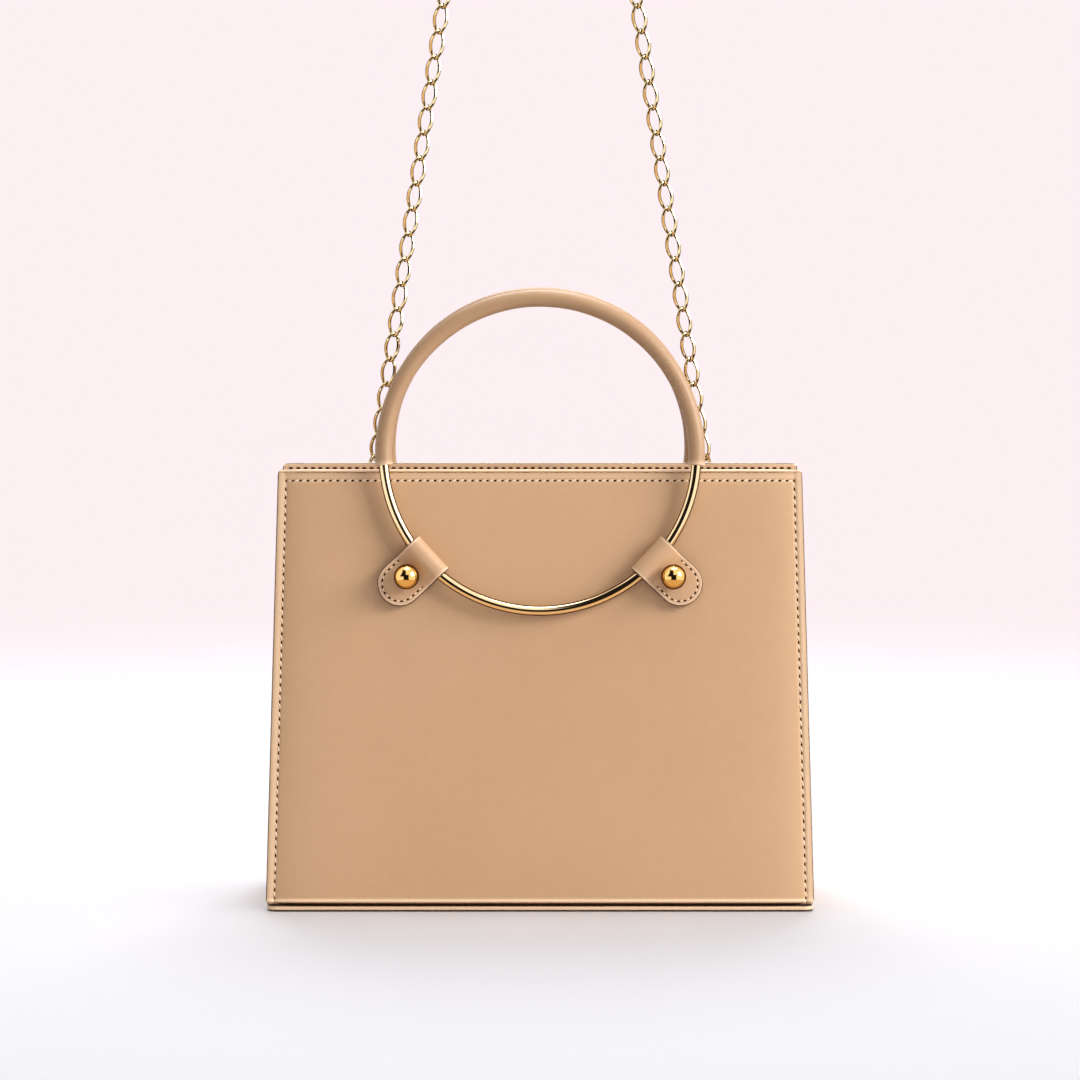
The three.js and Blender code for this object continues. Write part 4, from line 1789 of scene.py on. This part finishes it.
@dataclass
class Chain:
    """The chain strap and the two clasps that hold it to the back ring."""

    finishes: Finishes
    pitch: float = 0.0103
    link_width: float = 0.0064
    wire: float = 0.00067
    solid_wire: float = 0.0014
    bite: float = 0.0003
    twist: float = math.radians(45)
    clasp_wire: float = 0.0016
    tilt: float = math.radians(30)
    turn: float = math.radians(42)
    barrel: float = 0.003
    barrel_length: float = 0.0057
    eye: float = 0.0052
    eye_lap: float = 0.0007
    grip: float = 0.0068
    link_overlap: float = 0.985
    link_steps: tuple[int, int] = (20, 8)
    hook_steps: tuple[int, int] = (40, 12)
    eye_steps: tuple[int, int] = (32, 12)
    barrel_sides: int = 24
    barrel_sink: float = 0.0002
    foot_turning: tuple[tuple[float, float], ...] = (
        (0, 0), (0.7, 0), (1, 0.0005), (1, 0.0014), (0.78, 0.0017), (0.78, 0.0021), (1, 0.0024),
    )
    neck_turning: tuple[tuple[float, float], ...] = (
        (1, 0.0017), (0.8, 0.0013), (0.9, 0.0009), (0.8, 0.0004), (0.45, 0), (0, 0),
    )

    def __post_init__(self) -> None:
        """Works out the clasp's sizes and the places of both eyes."""
        self.hook_width = 2 * STANCE.ring_wire + self.clasp_wire + 2 * STANCE.gap
        self.hook_length = self.hook_width / math.sin(self.tilt)
        self.reach = self.hook_length / 2 + self.barrel_length - self.eye_lap + self.eye / 2

    def clasp_frame(self, hand: Hand) -> Matrix:
        """The frame of a clasp: x up through its eye, y across its hook.

        Args:
            hand: The side of the bag.

        Returns:
            The matrix to the row frame.
        """
        seat = (self.grip / 2 + self.barrel / 2 + STANCE.gap) / math.tan(self.tilt)
        angle = (STANCE.back_wrap - math.pi) / 2 + seat / STANCE.ring_radius
        sign = -hand.value
        radial = Vector((sign * math.cos(angle), -math.sin(angle), 0))
        up_ring = Vector((sign * math.sin(angle), math.cos(angle), 0))
        outward = Vector((0, 0, math.cos(self.turn))) + radial * math.sin(self.turn)
        along = up_ring * math.cos(self.tilt) + outward * math.sin(self.tilt)
        facing = outward * math.cos(self.tilt) - up_ring * math.sin(self.tilt)
        return STANCE.ring(Side.BACK) @ basis(along, facing, radial * STANCE.ring_radius)

    def oval(self, length: float, width: float, twist: float) -> Callable[[float], Vector]:
        """An oval line about its own middle, long along x, turned from end to end.

        Args:
            length: Its length.
            width: Its width.
            twist: How far its cross direction turns at each end.

        Returns:
            The line, as a function of an angle.
        """
        def line(angle: float) -> Vector:
            """The line's point at an angle."""
            across = width / 2 * math.sin(angle)
            roll = twist * math.cos(angle)
            return Vector((
                length / 2 * math.cos(angle), across * math.cos(roll), across * math.sin(roll),
            ))

        return line

    def build(self) -> None:
        """Makes the links and the clasps."""
        corners = [Vector((hand.value * self.pitch / 2, 0, 0)) for hand in Hand]
        frames = [self.clasp_frame(hand) for hand in Hand]
        eyes = [where @ Vector((self.reach, 0, 0)) for where in frames]
        facing = (corners[1] - corners[0]).cross(eyes[0]).normalized()
        bite = self.solid_wire - self.bite
        hooked = self.eye / 2 - self.solid_wire - STANCE.gap
        joints = [
            eye + (corner - eye).normalized() * (hooked + bite / 2)
            for eye, corner in zip(eyes, corners)
        ]
        bm = bmesh.new()
        for start, end in ((joints[0], corners[0]), corners, (corners[1], joints[1])):
            self.add_links(bm, start, end, facing)
        make_piece("chain_links", bm, (self.finishes.chain_gold,), ("chain_strap",))
        for hand, where, eye, corner in zip(Hand, frames, eyes, corners):
            self.build_clasp(hand, where, eye, (corner - eye).normalized(), facing)

    def add_links(self, bm: bmesh.types.BMesh, start: Vector, end: Vector, facing: Vector) -> None:
        """Adds the links of a straight run.

        Args:
            bm: The mesh of all links.
            start: Joint at the start of the run.
            end: Joint at its end.
            facing: Direction that the links face.
        """
        along = end - start
        count = max(1, round(along.length / self.pitch))
        length = along.length / count + 2 * self.wire * self.link_overlap
        line = self.oval(length, self.link_width - 2 * self.wire, self.twist)
        link = wire_loop(line, self.wire, *self.link_steps)
        places = [basis(along, facing, start + along * ((n + 0.5) / count)) for n in range(count)]
        add_copies(bm, link, places)
        link.free()

    def barrel_profile(self) -> list[tuple[float, float]]:
        """The barrel's half outline, with a groove at its foot and a waist at its neck.

        Returns:
            Radius and distance from the hook's middle of each point.
        """
        radius, start = self.barrel / 2, self.hook_length / 2 - self.barrel_sink
        end = start + self.barrel_length + self.barrel_sink
        foot = [(share * radius, start + up) for share, up in self.foot_turning]
        return foot + [(share * radius, end - down) for share, down in self.neck_turning]

    def build_clasp(
        self, hand: Hand, where: Matrix, eye: Vector, along: Vector, facing: Vector
    ) -> None:
        """Makes a clasp: hook, turned barrel and eye.

        Args:
            hand: The side of the bag.
            where: The clasp's frame.
            eye: Middle of its eye.
            along: Direction of the chain's strand.
            facing: Direction that the links face.
        """
        bm = bmesh.new()
        hook_line = self.oval(self.hook_length, self.hook_width, 0)
        hook = wire_loop(hook_line, self.clasp_wire / 2, *self.hook_steps)
        add_copies(bm, hook, [where])
        hook.free()
        lying = Matrix.Rotation(math.pi / 2, 4, "Y")
        barrel = lathe(self.barrel_profile(), self.barrel_sides)
        add_copies(bm, barrel, [where @ lying])
        barrel.free()
        turned = Matrix.Rotation(math.pi / 2 - self.twist, 3, along) @ facing
        ring_line = self.oval(self.eye, self.eye, 0)
        ring = wire_loop(ring_line, self.solid_wire / 2, *self.eye_steps)
        add_copies(bm, ring, [basis(along, turned, eye)])
        ring.free()
        bmesh.ops.recalc_face_normals(bm, faces=bm.faces)
        name = f"chain_clasp_{hand.name.lower()}"
        make_piece(name + "_metal", bm, (self.finishes.chain_gold,), (name,))


# Studio


@dataclass(frozen=True)
class Lamp:
    """A soft square light that faces the bag, its power in watts."""

    name: str
    place: tuple[float, float, float]
    size: float
    power: float


@dataclass
class Studio:
    """Pale floor, soft lights and the camera."""

    distance: float = 2.0
    elevation: float = math.radians(4.5)
    lens: float = 166.67
    sensor: float = 36.0
    aim: Vector = field(default_factory=lambda: Vector((0, -0.025, -0.4392)))
    key: Lamp = Lamp("key", (2.0, -0.95, 0.55), 1.2, 66.0)
    front: Lamp = Lamp("front", (0.0, -2.4, 0.5), 1.0, 8.0)
    others: tuple[Lamp, ...] = (
        Lamp("top", (0.1, 0.1, 1.4), 1.0, 18.0), Lamp("back", (0.0, 1.5, 1.1), 1.3, 26.0),
    )
    paper_sides: int = 64
    paper: tuple[tuple[float, float], ...] = (
        (0, 0), (1.5, 0), (4.5, 0), (6.0, 0.15), (7.2, 0.9), (7.6, 2.2), (7.7, 4.0),
    )
    pale: Colour = (0.985, 0.873, 0.9, 1.0)
    near: Colour = (0.93, 0.935, 0.985, 1.0)
    lit_to: float = 0.45
    pale_from: float = 1.3
    bounce: float = 0.3
    even_tone: Colour = (1.0, 0.985, 0.975, 1.0)
    even_strength: float = 0.26
    wall: Colour = (1.0, 0.975, 0.94, 1.0)
    warm: Colour = (0.68, 0.48, 0.3, 1.0)
    dark: Colour = (0.012, 0.01, 0.008, 1.0)
    mirror_strength: float = 1.3
    core: tuple[float, float] = (0.37, 0.45)
    warm_zone: tuple[float, float] = (-0.42, -0.28)
    hill_left: float = 0.95
    hill_left_slope: float = -0.55
    hill_right_slope: float = -0.06
    hill_foot: float = 0.1
    hill_top: float = 0.92
    hill_edge: tuple[float, float] = (-0.04, 0.05)
    hill_depth: tuple[float, float] = (-0.15, 0.0)

    def build(self) -> None:
        """Makes the whole studio."""
        self.build_camera()
        floor = self.build_floor()
        self.build_world()
        self.keep_off(self.add_light(self.key), floor)
        self.add_light(self.front).visible_glossy = False
        for lamp in self.others:
            self.add_light(lamp)
        bpy.context.scene.view_settings.view_transform = "Standard"

    def build_camera(self) -> None:
        """Puts the camera at the photo's viewing angle."""
        data = bpy.data.cameras.new("camera")
        data.lens = self.lens
        data.sensor_width = self.sensor
        camera = bpy.data.objects.new("camera", data)
        back = Vector((0, -math.cos(self.elevation), math.sin(self.elevation)))
        camera.location = self.aim + back * self.distance
        camera.rotation_euler = (-back).to_track_quat("-Z", "Y").to_euler()
        bpy.context.scene.collection.objects.link(camera)
        bpy.context.scene.camera = camera

    def build_floor(self) -> bpy.types.Object:
        """Makes the floor: a sheet of paper that rises far behind the bag on all sides.

        Returns:
            The floor.
        """
        bm = bmesh.new()
        line = [bm.verts.new((radius, 0, height)) for radius, height in self.paper]
        edges = [bm.edges.new(pair) for pair in zip(line, line[1:])]
        bmesh.ops.spin(
            bm, geom=line + edges, cent=(0, 0, 0), axis=(0, 0, 1), angle=math.tau,
            steps=self.paper_sides, use_merge=True,
        )
        bmesh.ops.remove_doubles(bm, verts=bm.verts, dist=DOUBLES)
        bmesh.ops.translate(bm, vec=(0, 0, STANCE.floor), verts=bm.verts)
        mesh = bpy.data.meshes.new("studio_floor")
        bm.to_mesh(mesh)
        bm.free()
        mesh.shade_smooth()
        mesh.materials.append(self.paper_material())
        floor = bpy.data.objects.new("studio_floor", mesh)
        floor.visible_glossy = False
        bpy.context.scene.collection.objects.link(floor)
        return floor

    def paper_material(self) -> bpy.types.Material:
        """Makes the paper, lit near the bag and evenly pale beyond.

        Returns:
            The material.
        """
        material, board, shader = start_material("studio_paper")
        vector = board.add("TexCoord").outputs["Object"]
        flat = board.add("VectorMath", {0: vector, 1: (1, 1, 0)}, operation="MULTIPLY").outputs[0]
        away = board.add("VectorMath", {0: flat}, operation="LENGTH").outputs["Value"]
        share = board.ramp(away, self.lit_to, self.pale_from, 0.0, 1.0)
        # The pale part shows in full, but lights the bag only a little.
        seen = board.add("LightPath").outputs["Is Camera Ray"]
        strength = board.math("MULTIPLY_ADD", seen, 1.0 - self.bounce, self.bounce)
        glow = board.add("Emission", {"Color": self.pale, "Strength": strength})
        fill(board, shader, {"Base Color": self.near, "Roughness": 0.9, "Specular IOR Level": 0.1})
        mixed = board.add("MixShader", {0: share, 1: shader.outputs[0], 2: glow.outputs[0]})
        output = material.node_tree.nodes["Material Output"]
        board.tree.links.new(mixed.outputs[0], output.inputs["Surface"])
        return material

    def mirrored(self, board: Board) -> bpy.types.NodeSocket:
        """What the metal mirrors: pale walls, a warm floor, and two dark shapes.

        Args:
            board: The board of the world's nodes.

        Returns:
            The colour's socket.
        """
        direction = board.add("TexCoord").outputs["Generated"]
        x, y, z = board.add("SeparateXYZ", {0: direction}).outputs
        # A dark middle, where the camera would stand.
        across = board.ramp(board.math("ABSOLUTE", x), *self.core, 1.0, 0.0)
        level = board.ramp(board.math("ABSOLUTE", z), *self.core, 1.0, 0.0)
        core = board.math("MULTIPLY", across, level)
        # A dark hill to the left of it, with sloping sides.
        reach = board.math("ADD", x, self.hill_left)
        left = board.math("MULTIPLY_ADD", z, self.hill_left_slope, reach)
        slope = board.math("MULTIPLY", z, self.hill_right_slope)
        right = board.math("MULTIPLY_ADD", x, -1.0, slope)
        foot = board.math("SUBTRACT", z, self.hill_foot)
        height = board.math("MINIMUM", foot, board.math("SUBTRACT", self.hill_top, z))
        inside = board.math("MINIMUM", board.math("MINIMUM", left, right), height)
        hill = board.ramp(inside, *self.hill_edge, 0.0, 1.0)
        hill = board.math("MULTIPLY", hill, board.ramp(y, *self.hill_depth, 1.0, 0.0))
        low = board.ramp(z, *self.warm_zone, 1.0, 0.0)
        bright = board.blend(low, self.wall, self.warm)
        return board.blend(board.math("MAXIMUM", core, hill), bright, self.dark)

    def build_world(self) -> None:
        """Makes even light for the leather, and a studio for the metal to mirror."""
        world = bpy.data.worlds.new("studio")
        world.use_nodes = True
        board = Board(world.node_tree)
        for node in list(world.node_tree.nodes):
            world.node_tree.nodes.remove(node)
        studio = board.add(
            "Background", {"Color": self.mirrored(board), "Strength": self.mirror_strength}
        )
        even = board.add(
            "Background", {"Color": self.even_tone, "Strength": self.even_strength}
        )
        path = board.add("LightPath").outputs["Is Glossy Ray"]
        mixed = board.add("MixShader", {0: path, 1: even.outputs[0], 2: studio.outputs[0]})
        output = board.add("OutputWorld")
        board.tree.links.new(mixed.outputs[0], output.inputs["Surface"])
        bpy.context.scene.world = world

    def keep_off(self, light: bpy.types.Object, floor: bpy.types.Object) -> None:
        """Keeps a light off the floor, so that no hard shadow falls to one side.

        Args:
            light: The light.
            floor: The floor.
        """
        unlit = bpy.data.collections.new("kept_off_the_floor")
        unlit.objects.link(floor)
        unlit.collection_objects[0].light_linking.link_state = "EXCLUDE"
        light.light_linking.receiver_collection = unlit

    def add_light(self, lamp: Lamp) -> bpy.types.Object:
        """Adds a soft square light that faces the bag.

        Args:
            lamp: Its name, place, size and power.

        Returns:
            The light.
        """
        data = bpy.data.lights.new(lamp.name, "AREA")
        data.shape = "SQUARE"
        data.size = lamp.size
        data.energy = lamp.power
        light = bpy.data.objects.new(lamp.name, data)
        light.location = lamp.place
        aim = self.aim - Vector(lamp.place)
        light.rotation_euler = aim.to_track_quat("-Z", "Y").to_euler()
        bpy.context.scene.collection.objects.link(light)
        return light


def main() -> None:
    """Builds the bag and the studio round it."""
    logging.basicConfig(level=logging.INFO, format="%(name)s: %(message)s")
    finishes = Finishes()
    Base(finishes).build()
    for hand in Hand:
        Gusset(hand, finishes).build()
    for side in Side:
        Panel(side, finishes).build()
        RingHandle(side, finishes).build()
        for hand in Hand:
            RingTab(side, hand, finishes).build()
    Chain(finishes).build()
    Studio().build()


if __name__ == "__main__":
    main()
